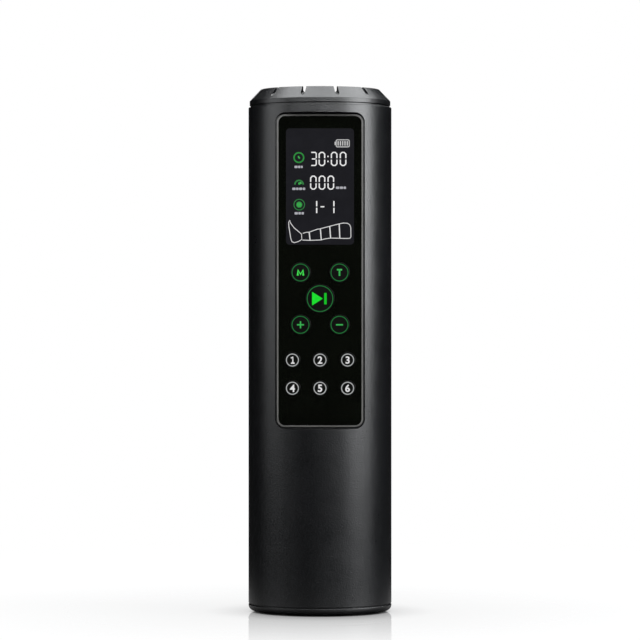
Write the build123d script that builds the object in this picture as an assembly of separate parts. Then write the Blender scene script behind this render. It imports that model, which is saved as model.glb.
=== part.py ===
from build123d import *
import math
import os

# Air compression pump: an upright cylindrical control unit with a flat key panel in front.
# Millimetres. The panel faces -Y, +Z is up, and the origin is on the floor under the axis.

# ---------------------------------------------------------------- driving dimensions
# Case
case_radius = 35.0
case_wall = 2.6
end_round = 0.3
seam_depth = 0.8
insert_gap = 0.2
cut_over = 1.0

# Base
foot_drop = 0.6
foot_thickness = 1.7
foot_width = 5.4
foot_edge_margin = 2.6
foot_arc_degrees = 64.0
base_edge_round = 2.7
base_cap_top = 3.8
base_seam = 0.45
base_floor_top = 3.2
skirt_wall = 2.0
skirt_top = 14.5
seal_section = 1.24
seal_height = 9.0
seal_slack = 0.03

# Air intake in the base
intake_slot_count = 12
intake_slot_width = 1.8
intake_inner_radius = 5.0
intake_outer_radius = 13.0
filter_radius = 16.0
filter_thickness = 3.0
filter_wall = 1.5
filter_wall_rise = 1.0
filter_gap = 0.2

# Top cap
band_step = 0.55
band_height = 2.3
top_seam = 0.8
rim_chamfer_width = 5.45
rim_chamfer_height = 5.7
rim_width = 1.6
rim_edge_round = 0.35
notch_count = 12
notch_width = 2.0
notch_depth = 2.7
notch_slope = 16.0
top_skirt_length = 8.5
relief_gap = 1.0
deck_drop = 7.0
deck_thickness = 2.0
deck_gap = 0.15
ledge_width = 3.2
ledge_thickness = 1.4

# Hose sockets
socket_web = 6.0
socket_edge_gap = 1.2
socket_wall = 1.5
socket_depth = 10.5
socket_mouth_chamfer = 0.5
collar_height = 1.0
chamber_step = 0.5
chamber_depth = 10.1
nipple_count = 6
nipple_circle_share = 0.61
nipple_radius = 1.3
nipple_bore_radius = 0.75
nipple_barb = 0.3
nipple_barb_length = 1.8
nipple_length = 9.2
nipple_plate = 3.6
socket_seal_section = 1.2
spreader_thickness = 5.6
spreader_margin = 0.8
spreader_corner = 6.0
tube_nipple_length = 6.0

# Key panel
panel_width = 43.3
panel_drop = 3.9
panel_top_margin = 7.6
panel_bottom_margin = 19.5
panel_corner = 4.75
panel_groove = 0.85
panel_wall = 2.0
panel_inset = 0.15
bezel_width = 0.75
bezel_rise = 0.12
lens_gap = 0.1
lens_thickness = 1.8
seat_thickness = 1.8

# Screen
screen_width = 32.8
screen_height = 56.1
screen_margin = 0.9
screen_corner = 1.8
display_border = 2.0
display_thickness = 3.0
gasket_thickness = 0.6
holder_wall = 1.3
holder_gap = 0.2

# Keys, and the distances between their rows from the screen down
control_key_radius = 5.0
play_key_radius = 7.1
chamber_key_radius = 3.95
control_key_inset = 12.25
chamber_key_inset = 8.35
screen_to_mode_row = 13.4
mode_to_play_row = 12.6
play_to_plus_row = 12.6
plus_to_chamber_row = 17.0
chamber_row_pitch = 13.6
key_rise = 0.15
key_gap = 0.15
key_edge_round = 0.2
key_flange_width = 0.8
key_flange_thickness = 0.8
key_flange_gap = 0.03
key_seat_gap = 0.3
key_stem_radius = 1.6
key_travel = 0.45
switch_margin = 0.05

# Main board and key switches
board_half_width = 19.5
board_top_margin = 2.6
board_bottom_margin = 7.7
board_thickness = 1.6
board_setback = 4.35
switch_size = 6.0
switch_body_height = 3.0
switch_plunger_radius = 1.7
switch_plunger_height = 0.4
board_screw_inset = 2.5
middle_screw_rise = 8.2
high_screw_rise = 5.5
standoff_radius = 2.4
standoff_length = 4.8
buzzer_radius = 6.0
buzzer_height = 4.2
buzzer_drop = 17.0

# Inner frame
spine_half_width = 20.0
spine_thickness = 2.0
shelf_gap = 0.6
shelf_thickness = 2.4
shelf_front_gap = 1.9
post_gap = 0.8
post_radius = 2.4
post_count = 4
rear_post_radius = 2.2
rear_post_gap = 0.4

# Battery pack of three cells
cell_radius = 9.2
cell_length = 65.2
cell_gap = 0.25
holder_cup_depth = 9.6
holder_floor = 2.4
holder_shell = 1.15
strip_thickness = 0.2
strip_half_width = 3.0
stack_gap = 0.1

# Charging board and port
port_width = 9.0
port_thickness = 3.2
port_shell = 0.35
port_length = 8.4
port_gap = 0.15
port_recess_margin = 1.9
port_recess_depth = 1.0
port_tongue_thickness = 0.7
port_tongue_margin = 0.8
port_floor = 2.0
port_tongue_setback = 1.0
charge_board_half_width = 9.0
charge_board_height = 26.0
charge_board_gap = 0.1
charge_board_thickness = 1.2
charge_boss_length = 2.4
charge_tab_thickness = 2.0
charge_screw_x = 6.5
charge_screw_drop = 9.5

# Pump
pump_spine_gap = 1.4
motor_radius = 12.0
motor_length = 31.0
motor_edge_round = 1.2
motor_end_wall = 1.2
motor_shaft_radius = 1.15
shaft_clearance = 0.05
shaft_end_gap = 1.1
shaft_opening_radius = 2.3
sleeve_wall = 2.0
sleeve_floor = 1.0
sleeve_gap = 0.05
cup_wall = 2.0
cup_height = 26.0
crankcase_radius = 14.6
crankcase_wall = 2.2
crank_radius = 5.0
crank_height = 4.0
crank_lift = 1.0
crank_pin_offset = 1.6
crank_pin_radius = 1.0
crank_pin_gap = 0.4
crank_gap = 1.2
wobble_radius = 10.5
wobble_arm_width = 6.0
wobble_thickness = 3.6
wobble_arm_thickness = 1.8
wobble_hub_roof = 0.9
wobble_hub_radius = 4.6
wobble_hub_gap = 0.45
diaphragm_thickness = 1.6
diaphragm_cup_radius = 3.8
diaphragm_cup_depth = 2.0
diaphragm_cup_wall = 1.0
diaphragm_circle_radius = 7.2
valve_plate_thickness = 3.0
head_height = 8.0
head_chamber_step = 1.8
pump_screw_inset = 2.0
pump_screw_count = 3
pump_boss_radius = 1.85

# Manifold, valves and tubes
supply_run = 16.0
tube_run = 19.5
manifold_margin = 1.0
manifold_spine_gap = 0.5
manifold_height = 10.0
manifold_corner = 2.0
valve_column_pitch = 13.5
valve_row_pitch = 13.0
valve_width = 11.5
valve_depth = 10.0
valve_height = 25.6
valve_base = 5.0
valve_coil_radius = 4.8
valve_yoke = 1.4
tube_wall = 1.0
tube_hole_gap = 1.0
tube_slack = 0.03
tube_end_gap = 0.5
sensor_width = 7.0
sensor_post_gap = 0.8
sensor_depth = 6.0
sensor_height = 6.5

# Screws
screw_radius = 1.1
screw_head_radius = 2.2
screw_head_height = 1.5
screw_slack = 0.05
screw_socket_radius = 1.0
small_screw_radius = 0.9
small_screw_head_radius = 1.7
small_screw_head_height = 1.2
screw_grip = 6.0

# ---------------------------------------------------------------- worked out from the above
# Radii
bore_radius = case_radius - case_wall
base_neck_radius = case_radius - seam_depth
skirt_radius = bore_radius - insert_gap
skirt_bore_radius = skirt_radius - skirt_wall
band_radius = case_radius - band_step
top_neck_radius = band_radius - seam_depth
rim_radius = band_radius - rim_chamfer_width
recess_radius = rim_radius - rim_width
deck_radius = recess_radius - deck_gap
guide_radius = (recess_radius - ledge_width - socket_edge_gap - socket_web / 2) / 2
socket_radius = guide_radius - socket_wall
socket_offset = guide_radius + socket_web / 2
chamber_radius = socket_radius - chamber_step
socket_seal_radius = (chamber_radius + guide_radius) / 2
nipple_circle_radius = chamber_radius * nipple_circle_share
shelf_radius = bore_radius - shelf_gap
post_circle_radius = skirt_bore_radius - post_gap - post_radius
foot_outer_radius = case_radius - base_edge_round - foot_edge_margin
foot_inner_radius = foot_outer_radius - foot_width
barb_radius = nipple_radius + nipple_barb
tube_inner_radius = barb_radius + tube_slack
tube_outer_radius = tube_inner_radius + tube_wall
screw_hole_radius = screw_radius + screw_slack
small_screw_hole_radius = small_screw_radius + screw_slack
pump_screw_circle = crankcase_radius - pump_screw_inset

# Heights from the floor up: base, battery, pump, valves, sockets, rim
tube_bottom = base_cap_top + base_seam
shelf_low = skirt_top
shelf_low_top = shelf_low + shelf_thickness
port_height = shelf_low_top + charge_board_gap + charge_board_height / 2
cell_bottom = shelf_low_top + holder_floor + strip_thickness
cell_top = cell_bottom + cell_length
holder_top = cell_top + strip_thickness + holder_floor
shelf_mid = holder_top + stack_gap
shelf_mid_top = shelf_mid + shelf_thickness
motor_bottom = shelf_mid_top + sleeve_floor
motor_top = motor_bottom + motor_length
crank_bottom = motor_top + crankcase_wall + crank_lift
crank_top = crank_bottom + crank_height
wobble_bottom = crank_top + crank_gap
wobble_top = wobble_bottom + wobble_thickness
crankcase_top = wobble_top + diaphragm_cup_depth
diaphragm_top = crankcase_top + diaphragm_thickness
valve_plate_top = diaphragm_top + valve_plate_thickness
head_top = valve_plate_top + head_height
manifold_bottom = head_top + supply_run
manifold_shelf = manifold_bottom - shelf_thickness
manifold_top = manifold_bottom + manifold_height
valve_top = manifold_top + valve_height
spreader_bottom = valve_top + tube_run
spreader_top = spreader_bottom + spreader_thickness
chamber_floor = spreader_top + nipple_plate
socket_floor = chamber_floor + chamber_depth
collar_top = socket_floor + socket_depth
deck_top = collar_top - collar_height
deck_bottom = deck_top - deck_thickness
ledge_bottom = deck_bottom - ledge_thickness
case_height = deck_top + deck_drop
band_top = case_height - rim_chamfer_height
band_bottom = band_top - band_height
tube_top = band_bottom - top_seam

# Panel, screen and key rows from the top of the tube down
panel_top = tube_top - panel_drop
screen_top = panel_top - panel_top_margin
screen_middle = screen_top - screen_height / 2
mode_row = screen_top - screen_height - screen_to_mode_row
play_row = mode_row - mode_to_play_row
plus_row = play_row - play_to_plus_row
upper_chamber_row = plus_row - plus_to_chamber_row
lower_chamber_row = upper_chamber_row - chamber_row_pitch
panel_bottom = lower_chamber_row - panel_bottom_margin
panel_height = panel_top - panel_bottom
panel_middle = (panel_bottom + panel_top) / 2
control_key_x = panel_width / 2 - control_key_inset
chamber_key_x = panel_width / 2 - chamber_key_inset
board_top = panel_top - board_top_margin
board_bottom = lower_chamber_row - board_bottom_margin
bezel_outer = (panel_width - 2 * panel_groove, panel_height - 2 * panel_groove)
bezel_corner = panel_corner - panel_groove
lens_inset = panel_groove + bezel_width + lens_gap

# Depths from the lens to the back
lens_front = panel_inset - math.sqrt(case_radius**2 - (panel_width / 2) ** 2)
lens_back = lens_front + lens_thickness
seat_back = lens_back + seat_thickness
shelf_front = seat_back + shelf_front_gap
board_front = seat_back + board_setback
board_back = board_front + board_thickness
switch_front = board_front - switch_body_height
switch_tip = switch_front - switch_plunger_height
display_front = seat_back + gasket_thickness
display_width = screen_width + 2 * display_border
display_height = screen_height + 2 * display_border
board_screw_x = board_half_width - board_screw_inset
spine_front = board_back + standoff_length
spine_back = spine_front + spine_thickness
pump_y = spine_back + pump_spine_gap + crankcase_radius
sleeve_radius = motor_radius + sleeve_gap + sleeve_wall
cup_radius = sleeve_radius + sleeve_gap + cup_wall
spreader_front = spine_front
manifold_front = spine_back + manifold_spine_gap
first_valve_row = manifold_front + manifold_margin + valve_depth / 2
manifold_back = first_valve_row + valve_row_pitch + valve_depth / 2 + manifold_margin
manifold_half_width = valve_column_pitch + valve_width / 2 + manifold_margin
rear_post_x = sensor_width / 2 + sensor_post_gap + rear_post_radius
rear_post_y = manifold_back + rear_post_gap + rear_post_radius
spreader_half_width = socket_offset + guide_radius
spreader_back = rear_post_y + rear_post_radius + spreader_margin
port_recess_floor = case_radius - port_recess_depth
port_back = port_recess_floor - port_length
charge_board_front = port_back - charge_board_thickness
charge_tab_back = charge_board_front - charge_boss_length
charge_tab_front = charge_tab_back - charge_tab_thickness

# Battery
cell_circle = (cell_radius + cell_gap) * 2 / math.sqrt(3)
holder_radius = cell_radius + cell_gap + holder_shell

# Where repeated pieces stand: angles of the posts, X and Y or X and Z of the rest
POST_ANGLES = [(index + 0.5) * 360 / post_count for index in range(post_count)]
VALVES = [
    (column * valve_column_pitch, first_valve_row + row * valve_row_pitch)
    for column in (-1, 0, 1) for row in (0, 1)
]
BOARD_SCREWS = [
    (side * board_screw_x, height)
    for height in (
        lower_chamber_row - switch_size / 2 - small_screw_head_radius,
        upper_chamber_row + middle_screw_rise,
        mode_row + high_screw_rise,
    )
    for side in (-1, 1)
]
CHARGE_SCREWS = [(side * charge_screw_x, port_height + charge_screw_drop) for side in (-1, 1)]

# X, height and cap radius of each key
KEYS = {
    "mode_key": (-control_key_x, mode_row, control_key_radius),
    "timer_key": (control_key_x, mode_row, control_key_radius),
    "play_key": (0.0, play_row, play_key_radius),
    "plus_key": (-control_key_x, plus_row, control_key_radius),
    "minus_key": (control_key_x, plus_row, control_key_radius),
}
for row, row_height in enumerate((upper_chamber_row, lower_chamber_row)):
    for column in range(3):
        KEYS[f"chamber_key_{3 * row + column + 1}"] = (
            (column - 1) * chamber_key_x, row_height, chamber_key_radius)


# ---------------------------------------------------------------- shape helpers
def disc(radius, low, high, x=0.0, y=0.0):
    """Upright cylinder between two heights."""
    standing = (Align.CENTER, Align.CENTER, Align.MIN)
    return Pos(x, y, low) * Cylinder(radius, high - low, align=standing)


def ring(outer, inner, low, high, x=0.0, y=0.0):
    """Upright tube between two heights."""
    through = high - low
    return disc(outer, low, high, x, y) - disc(inner, low - through, high + through, x, y)


def block(x_range, y_range, z_range):
    """Box between two values on each axis."""
    sizes = [high - low for low, high in (x_range, y_range, z_range)]
    return Pos(x_range[0], y_range[0], z_range[0]) * Box(*sizes, align=(Align.MIN,) * 3)


def upright_slab(width, depth, corner, low, high, y=0.0):
    """Rounded rectangle, seen from above, between two heights."""
    return extrude(Pos(0, y, low) * RectangleRounded(width, depth, corner), high - low)


def across(sketch, front, back, x=0.0, z=0.0):
    """A sketch in the X-Z plane, extruded from front to back along Y."""
    plane = Plane(origin=(x, front, z), x_dir=(1, 0, 0), z_dir=(0, 1, 0))
    return extrude(plane * sketch, back - front)


def plate(width, height, corner, front, back, x=0.0, z=0.0):
    """Rounded rectangular plate that faces along Y."""
    return across(RectangleRounded(width, height, corner), front, back, x, z)


def rod(radius, front, back, x=0.0, z=0.0):
    """Cylinder along Y."""
    return across(Circle(radius), front, back, x, z)


def turned(points, rounds=()):
    """Solid of revolution about Z; each round is (radius, height, fillet) of one corner."""
    face = make_face(Polyline(*points, close=True))
    for radius, height, size in rounds:
        corner = face.vertices().sort_by_distance((radius, height, 0))[0]
        face = fillet(corner, size)
    return revolve(Plane.XZ * face, Axis.Z)


def polar(radius, angle):
    """X and Y of a point on a circle, angle in degrees from +X."""
    return radius * math.cos(math.radians(angle)), radius * math.sin(math.radians(angle))


def screw(head_radius, head_height, shank_radius, shank_length):
    """Cap screw along Z with its head below the origin and its shank above."""
    body = disc(head_radius, -head_height, 0) + disc(shank_radius, 0, shank_length)
    socket = extrude(Pos(0, 0, -head_height) * RegularPolygon(screw_socket_radius, 6), head_height / 2)
    return body - socket


def barbed_nipple(length):
    """Hose nipple standing on z=0 with one barb at its tip."""
    barb_low = length - nipple_barb_length
    return turned([
        (nipple_bore_radius, 0), (nipple_radius, 0), (nipple_radius, barb_low), (barb_radius, barb_low),
        (nipple_radius, length), (nipple_bore_radius, length),
    ])


def silicone_tube(low, high, x, y):
    """Straight silicone tube between two heights."""
    return ring(tube_outer_radius, tube_inner_radius, low, high, x, y)


# ---------------------------------------------------------------- case
def body_tube():
    """Tube with a moulded flat pocket for the key panel and an opening for the charging port."""
    tube = turned(
        [
            (bore_radius, tube_bottom), (case_radius, tube_bottom),
            (case_radius, tube_top), (bore_radius, tube_top),
        ],
        [(case_radius, tube_bottom, end_round), (case_radius, tube_top, end_round)],
    )
    outside = -case_radius - cut_over
    behind = seat_back + cut_over
    tray = plate(
        panel_width + 2 * panel_wall, panel_height + 2 * panel_wall, panel_corner + panel_wall,
        outside, seat_back, z=panel_middle,
    )
    tray &= disc(case_radius - case_wall / 2, tube_bottom, tube_top)
    shell = tube + tray - plate(panel_width, panel_height, panel_corner, outside, lens_back, z=panel_middle)
    shell -= plate(
        screen_width + 2 * screen_margin, screen_height + 2 * screen_margin, screen_corner + screen_margin,
        outside, behind, z=screen_middle,
    )
    for x, z, radius in KEYS.values():
        shell -= rod(radius + key_flange_width + key_seat_gap, outside, behind, x, z)
    port_hole = SlotOverall(port_width + 2 * port_gap, port_thickness + 2 * port_gap)
    shell -= across(port_hole, bore_radius - cut_over, case_radius + cut_over, z=port_height)
    port_recess = SlotOverall(port_width + 2 * port_recess_margin, port_thickness + 2 * port_recess_margin)
    return shell - across(port_recess, port_recess_floor, case_radius + cut_over, z=port_height)


def top_cap():
    """Turned end cap: notched, chamfered rim round a recess, on a skirt that enters the tube."""
    skirt_low = tube_top - top_skirt_length
    cap = turned(
        [
            (recess_radius, case_height), (rim_radius, case_height), (band_radius, band_top),
            (band_radius, band_bottom), (top_neck_radius, band_bottom), (top_neck_radius, tube_top),
            (skirt_radius, tube_top), (skirt_radius, skirt_low), (skirt_bore_radius, skirt_low),
            (skirt_bore_radius, ledge_bottom), (recess_radius - ledge_width, ledge_bottom),
            (recess_radius - ledge_width, deck_bottom), (recess_radius, deck_bottom),
        ],
        [(rim_radius, case_height, rim_edge_round), (recess_radius, case_height, rim_edge_round),
         (band_radius, band_top, rim_edge_round), (band_radius, band_bottom, rim_edge_round)],
    )
    notch_height = 2 * rim_chamfer_height
    notch = Pos(0, -recess_radius, case_height - notch_depth) * Rot(notch_slope, 0, 0) * across(
        SlotOverall(notch_height, notch_width, rotation=90),
        recess_radius - case_radius - cut_over, cut_over, z=notch_height / 2,
    )
    for index in range(notch_count):
        cap -= Rot(0, 0, (index + 0.5) * 360 / notch_count) * notch
    relief_half = panel_width / 2 + panel_wall + relief_gap
    relief_top = panel_top + panel_wall + insert_gap / 2
    return cap - block(
        (-relief_half, relief_half), (-case_radius, -skirt_radius / 2), (skirt_low - cut_over, relief_top))


def socket_deck():
    """Recessed deck with the guide tubes of the two hose sockets."""
    deck = disc(deck_radius, deck_bottom, deck_top)
    for side in (-1, 1):
        deck += disc(guide_radius, chamber_floor, collar_top, side * socket_offset)
    for side in (-1, 1):
        x = side * socket_offset
        mouth = Pos(x, 0, collar_top - socket_mouth_chamfer) * Cone(
            socket_radius, socket_radius + 2 * socket_mouth_chamfer, 2 * socket_mouth_chamfer,
            align=(Align.CENTER, Align.CENTER, Align.MIN),
        )
        bore = disc(socket_radius, socket_floor, collar_top, x)
        chamber = disc(chamber_radius, chamber_floor, socket_floor, x)
        deck -= bore + chamber + mouth
    return deck


def nipple_places():
    """X and Y of a hose socket's nipples, from the socket's axis."""
    return [polar(nipple_circle_radius, 90 + index * 360 / nipple_count) for index in range(nipple_count)]


def nipple_block(side):
    """Round plate under a hose socket with its barbed nipples and the groove of its seal."""
    x = side * socket_offset
    body = disc(guide_radius, spreader_top, chamber_floor, x)
    half = socket_seal_section / 2 + seal_slack
    body -= ring(socket_seal_radius + half, socket_seal_radius - half,
                 chamber_floor - 2 * half, chamber_floor + cut_over, x)
    nipple = barbed_nipple(nipple_length)
    for dx, dy in nipple_places():
        body -= disc(nipple_bore_radius, spreader_top - cut_over, chamber_floor + cut_over, x + dx, dy)
        body += Pos(x + dx, dy, chamber_floor) * nipple
    return body


def socket_seals():
    """O-ring under each guide tube."""
    half = socket_seal_section / 2
    centre = chamber_floor - half - seal_slack
    seal = Torus(socket_seal_radius, half)
    return Part() + [Pos(side * socket_offset, 0, centre) * seal for side in (-1, 1)]


def hose_spreader():
    """Plate that shares each valve's air between the two sockets, with a nipple for every valve below."""
    depth = spreader_back - spreader_front
    middle = (spreader_back + spreader_front) / 2
    width = 2 * spreader_half_width
    body = upright_slab(width, depth, spreader_corner, spreader_bottom, spreader_top, middle)
    body &= disc(shelf_radius, spreader_bottom, spreader_top)
    for side in (-1, 1):
        for dx, dy in nipple_places():
            body -= disc(nipple_bore_radius, spreader_top - spreader_thickness / 2, spreader_top + cut_over,
                         side * socket_offset + dx, dy)
        body -= disc(screw_hole_radius, spreader_bottom - cut_over, spreader_top + cut_over,
                     side * rear_post_x, rear_post_y)
    nipple = Rot(180, 0, 0) * barbed_nipple(tube_nipple_length)
    for x, y in VALVES:
        body += Pos(x, y, spreader_bottom) * nipple
    return body


def base_cap():
    """Bottom cap with a rounded edge, intake slots, pad recesses and screw holes."""
    cap = turned(
        [
            (0, foot_drop), (case_radius, foot_drop), (case_radius, base_cap_top),
            (base_neck_radius, base_cap_top), (base_neck_radius, tube_bottom), (skirt_radius, tube_bottom),
            (skirt_radius, skirt_top), (skirt_bore_radius, skirt_top), (skirt_bore_radius, base_floor_top),
            (0, base_floor_top),
        ],
        [(case_radius, foot_drop, base_edge_round), (case_radius, base_cap_top, end_round)],
    )
    cap += ring(filter_radius + filter_gap + filter_wall, filter_radius + filter_gap,
                base_floor_top, base_floor_top + filter_thickness + filter_wall_rise)
    slot_length = intake_outer_radius - intake_inner_radius
    slot = extrude(SlotOverall(slot_length, intake_slot_width), base_floor_top + cut_over)
    for index in range(intake_slot_count):
        spoke = Pos((intake_inner_radius + intake_outer_radius) / 2, 0, 0) * slot
        cap -= Rot(0, 0, index * 360 / intake_slot_count) * spoke
    for pad in pad_shapes(foot_thickness):
        cap -= pad
    for angle in POST_ANGLES:
        x, y = polar(post_circle_radius, angle)
        cap -= disc(screw_hole_radius, 0, base_floor_top + cut_over, x, y)
        cap -= disc(screw_head_radius + screw_slack, 0, foot_drop + screw_head_height, x, y)
    half = seal_section / 2 + seal_slack
    return cap - ring(case_radius, bore_radius - 2 * half, seal_height - half, seal_height + half)


def pad_shapes(thickness):
    """One arc-shaped pad midway between each pair of posts, from the floor up."""
    pad_ring = ring(foot_outer_radius, foot_inner_radius, 0, thickness)
    reach = 2 * case_radius
    tip_x, tip_y = polar(reach, foot_arc_degrees / 2)
    wedge_face = make_face(Polyline((0, 0), (tip_x, -tip_y), (tip_x, tip_y), close=True))
    wedge = extrude(wedge_face, thickness)
    return [Rot(0, 0, angle + 180 / post_count) * (pad_ring & wedge) for angle in POST_ANGLES]


def foot_pads():
    """Four rubber arcs that the pump stands on."""
    return Part() + pad_shapes(foot_thickness)


def base_seal():
    """O-ring between the base cap's skirt and the tube."""
    half = seal_section / 2
    return Pos(0, 0, seal_height) * Torus(bore_radius - seal_slack - half, half)


def base_screws():
    """Screws from the base cap up into the inner frame's posts."""
    grip = base_floor_top - foot_drop - screw_head_height + screw_grip
    one = screw(screw_head_radius, screw_head_height, screw_radius, grip)
    places = [polar(post_circle_radius, angle) for angle in POST_ANGLES]
    return Part() + [Pos(x, y, foot_drop + screw_head_height) * one for x, y in places]


def intake_filter():
    """Foam disc over the intake slots."""
    return disc(filter_radius, base_floor_top, base_floor_top + filter_thickness)


# ---------------------------------------------------------------- key panel
def panel_bezel():
    """Thin frame round the lens, set off from the case by a groove."""
    front = lens_front - bezel_rise
    frame = plate(*bezel_outer, bezel_corner, front, lens_back, z=panel_middle)
    inner = [size - 2 * bezel_width for size in bezel_outer]
    return frame - plate(
        *inner, bezel_corner - bezel_width, front - cut_over, lens_back + cut_over, z=panel_middle)


def front_lens():
    """Black window with a hole for each key."""
    lens = plate(
        panel_width - 2 * lens_inset, panel_height - 2 * lens_inset, panel_corner - lens_inset,
        lens_front, lens_back, z=panel_middle,
    )
    for x, z, radius in KEYS.values():
        lens -= rod(radius + key_gap, lens_front - cut_over, lens_back + cut_over, x, z)
    return lens


def key(x, z, radius):
    """Key cap that passes through the lens, with a flange behind it and a stem to its switch."""
    flange_front = lens_back + key_flange_gap
    flange_back = flange_front + key_flange_thickness
    stem_back = switch_tip - key_travel - switch_margin
    cap = rod(radius, lens_front - key_rise, flange_back, x, z)
    rim = cap.edges().filter_by(GeomType.CIRCLE).sort_by(Axis.Y)[0]
    cap = fillet(rim, key_edge_round)
    cap += rod(radius + key_flange_width, flange_front, flange_back, x, z)
    return cap + rod(key_stem_radius, flange_back, stem_back, x, z)


def key_switches():
    """One push switch on the board behind each key."""
    switches = []
    for x, z, _ in KEYS.values():
        body = across(Rectangle(switch_size, switch_size), switch_front, board_front, x, z)
        switches.append(body + rod(switch_plunger_radius, switch_tip, switch_front, x, z))
    return Part() + switches


def display_gasket():
    """Foam frame between the case and the display."""
    frame = across(Rectangle(display_width, display_height), seat_back, display_front, z=screen_middle)
    window = Rectangle(screen_width + 2 * screen_margin, screen_height + 2 * screen_margin)
    return frame - across(window, seat_back - cut_over, display_front + cut_over, z=screen_middle)


def display_module():
    """Flat display panel behind the lens."""
    face = Rectangle(display_width, display_height)
    return across(face, display_front, display_front + display_thickness, z=screen_middle)


def display_holder():
    """Frame that locates the display on the board, with a rib that backs it."""
    rim = holder_gap + holder_wall
    outer = Rectangle(display_width + 2 * rim, display_height + 2 * rim)
    frame = across(outer, display_front, board_front, z=screen_middle)
    pocket = Rectangle(display_width + 2 * holder_gap, display_height + 2 * holder_gap)
    frame -= across(pocket, display_front - cut_over, display_front + display_thickness, z=screen_middle)
    return frame - across(Rectangle(screen_width, screen_height), display_front, board_front + cut_over,
                          z=screen_middle)


def main_board():
    """Circuit board behind the panel, carried by the inner frame's standoffs."""
    board = block((-board_half_width, board_half_width), (board_front, board_back), (board_bottom, board_top))
    for x, z in BOARD_SCREWS:
        board -= rod(small_screw_hole_radius, board_front - cut_over, board_back + cut_over, x, z)
    return board


def board_screws():
    """Screws through the board into the standoffs."""
    one = Rot(-90, 0, 0) * screw(small_screw_head_radius, small_screw_head_height, small_screw_radius,
                                 board_thickness + standoff_length)
    return Part() + [Pos(x, board_front, z) * one for x, z in BOARD_SCREWS]


def buzzer():
    """Sounder on the back of the board."""
    return rod(buzzer_radius, board_back, board_back + buzzer_height, z=screen_middle - buzzer_drop)


# ---------------------------------------------------------------- inner frame
def shelf(low, front):
    """Round shelf cut off straight at the front."""
    high = low + shelf_thickness
    reach = 2 * case_radius
    return disc(shelf_radius, low, high) & block((-reach, reach), (front, reach), (low, high))


def inner_frame():
    """Chassis: posts, three shelves, spine with standoffs, and the cup that holds the motor."""
    frame = shelf(shelf_low, -shelf_radius) + shelf(shelf_mid, shelf_front)
    frame += shelf(manifold_shelf, spine_front)
    frame += block(
        (-spine_half_width, spine_half_width), (spine_front, spine_back), (shelf_mid, spreader_bottom))
    for angle in POST_ANGLES:
        x, y = polar(post_circle_radius, angle)
        frame += disc(post_radius, base_floor_top, shelf_mid_top, x, y)
    for side in (-1, 1):
        frame += disc(rear_post_radius, manifold_bottom, spreader_bottom, side * rear_post_x, rear_post_y)
    frame += disc(cup_radius, shelf_mid, shelf_mid_top + cup_height, 0, pump_y)
    for x, z in BOARD_SCREWS:
        frame += rod(standoff_radius, board_back, spine_front, x, z)
    frame += charge_tab()
    return frame - frame_openings()


def charge_tab():
    """Upright tab on the low shelf, with bosses for the charging board."""
    tab = block((-charge_board_half_width, charge_board_half_width), (charge_tab_front, charge_tab_back),
                (shelf_low_top, port_height + charge_board_height / 2))
    for x, z in CHARGE_SCREWS:
        tab += rod(standoff_radius, charge_tab_back, charge_board_front, x, z)
    return tab


def frame_openings():
    """Everything that is cut out of the inner frame."""
    cup_bore, supply_hole = sleeve_radius + sleeve_gap, tube_outer_radius + tube_hole_gap
    cuts = disc(cup_bore, shelf_mid_top, shelf_mid_top + cup_height + cut_over, 0, pump_y)
    cuts += disc(motor_radius / 2, shelf_mid - cut_over, shelf_mid_top + cut_over, 0, pump_y)
    cuts += disc(supply_hole, manifold_shelf - cut_over, manifold_bottom + cut_over, 0, pump_y)
    cuts += disc(filter_radius, shelf_low - cut_over, shelf_low_top + cut_over)
    for angle in POST_ANGLES:
        low, high = base_floor_top - cut_over, base_floor_top + screw_grip + cut_over
        cuts += disc(screw_hole_radius, low, high, *polar(post_circle_radius, angle))
    for side in (-1, 1):
        cuts += disc(screw_hole_radius, spreader_bottom - screw_grip - cut_over, spreader_bottom + cut_over,
                     side * rear_post_x, rear_post_y)
    for x, z in BOARD_SCREWS:
        cuts += rod(small_screw_hole_radius, board_back - cut_over, spine_back + cut_over, x, z)
    for x, z in CHARGE_SCREWS:
        cuts += rod(small_screw_hole_radius, charge_tab_front - cut_over, charge_board_front + cut_over, x, z)
    return cuts


def spreader_screws():
    """Screws from the hose spreader down into the rear posts."""
    one = Rot(180, 0, 0) * screw(screw_head_radius, screw_head_height, screw_radius,
                                 spreader_thickness + screw_grip)
    return Part() + [Pos(side * rear_post_x, rear_post_y, spreader_top) * one for side in (-1, 1)]


# ---------------------------------------------------------------- battery
def cell_places():
    """X and Y of the three cells, one in front and two behind."""
    return [polar(cell_circle, 270 + index * 120) for index in range(3)]


def battery_cells():
    """Three upright cells."""
    return Part() + [disc(cell_radius, cell_bottom, cell_top, x, y) for x, y in cell_places()]


def battery_holder(low, high, open_upwards):
    """Cap with a cup for each cell and a window for the strip."""
    places = cell_places()
    body = Part() + [disc(holder_radius, low, high, x, y) for x, y in places]
    body += disc(cell_circle, low, high)
    cup = (low + holder_floor, high + cut_over) if open_upwards else (low - cut_over, high - holder_floor)
    for x, y in places:
        body -= disc(cell_radius + cell_gap / 2, *cup, x, y)
        body -= disc(cell_radius / 2, low - cut_over, high + cut_over, x, y)
    return body


def battery_strips():
    """Nickel strips on both ends of the cells."""
    strips = []
    for low in (cell_bottom - strip_thickness, cell_top):
        for x, y in cell_places():
            strips.append(disc(strip_half_width, low, low + strip_thickness, x, y))
    return Part() + strips


# ---------------------------------------------------------------- charging board
def charge_board():
    """Small board behind the charging port."""
    half_height = charge_board_height / 2
    board = block((-charge_board_half_width, charge_board_half_width), (charge_board_front, port_back),
                  (port_height - half_height, port_height + half_height))
    for x, z in CHARGE_SCREWS:
        board -= rod(small_screw_hole_radius, charge_board_front - cut_over, port_back + cut_over, x, z)
    return board


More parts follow.
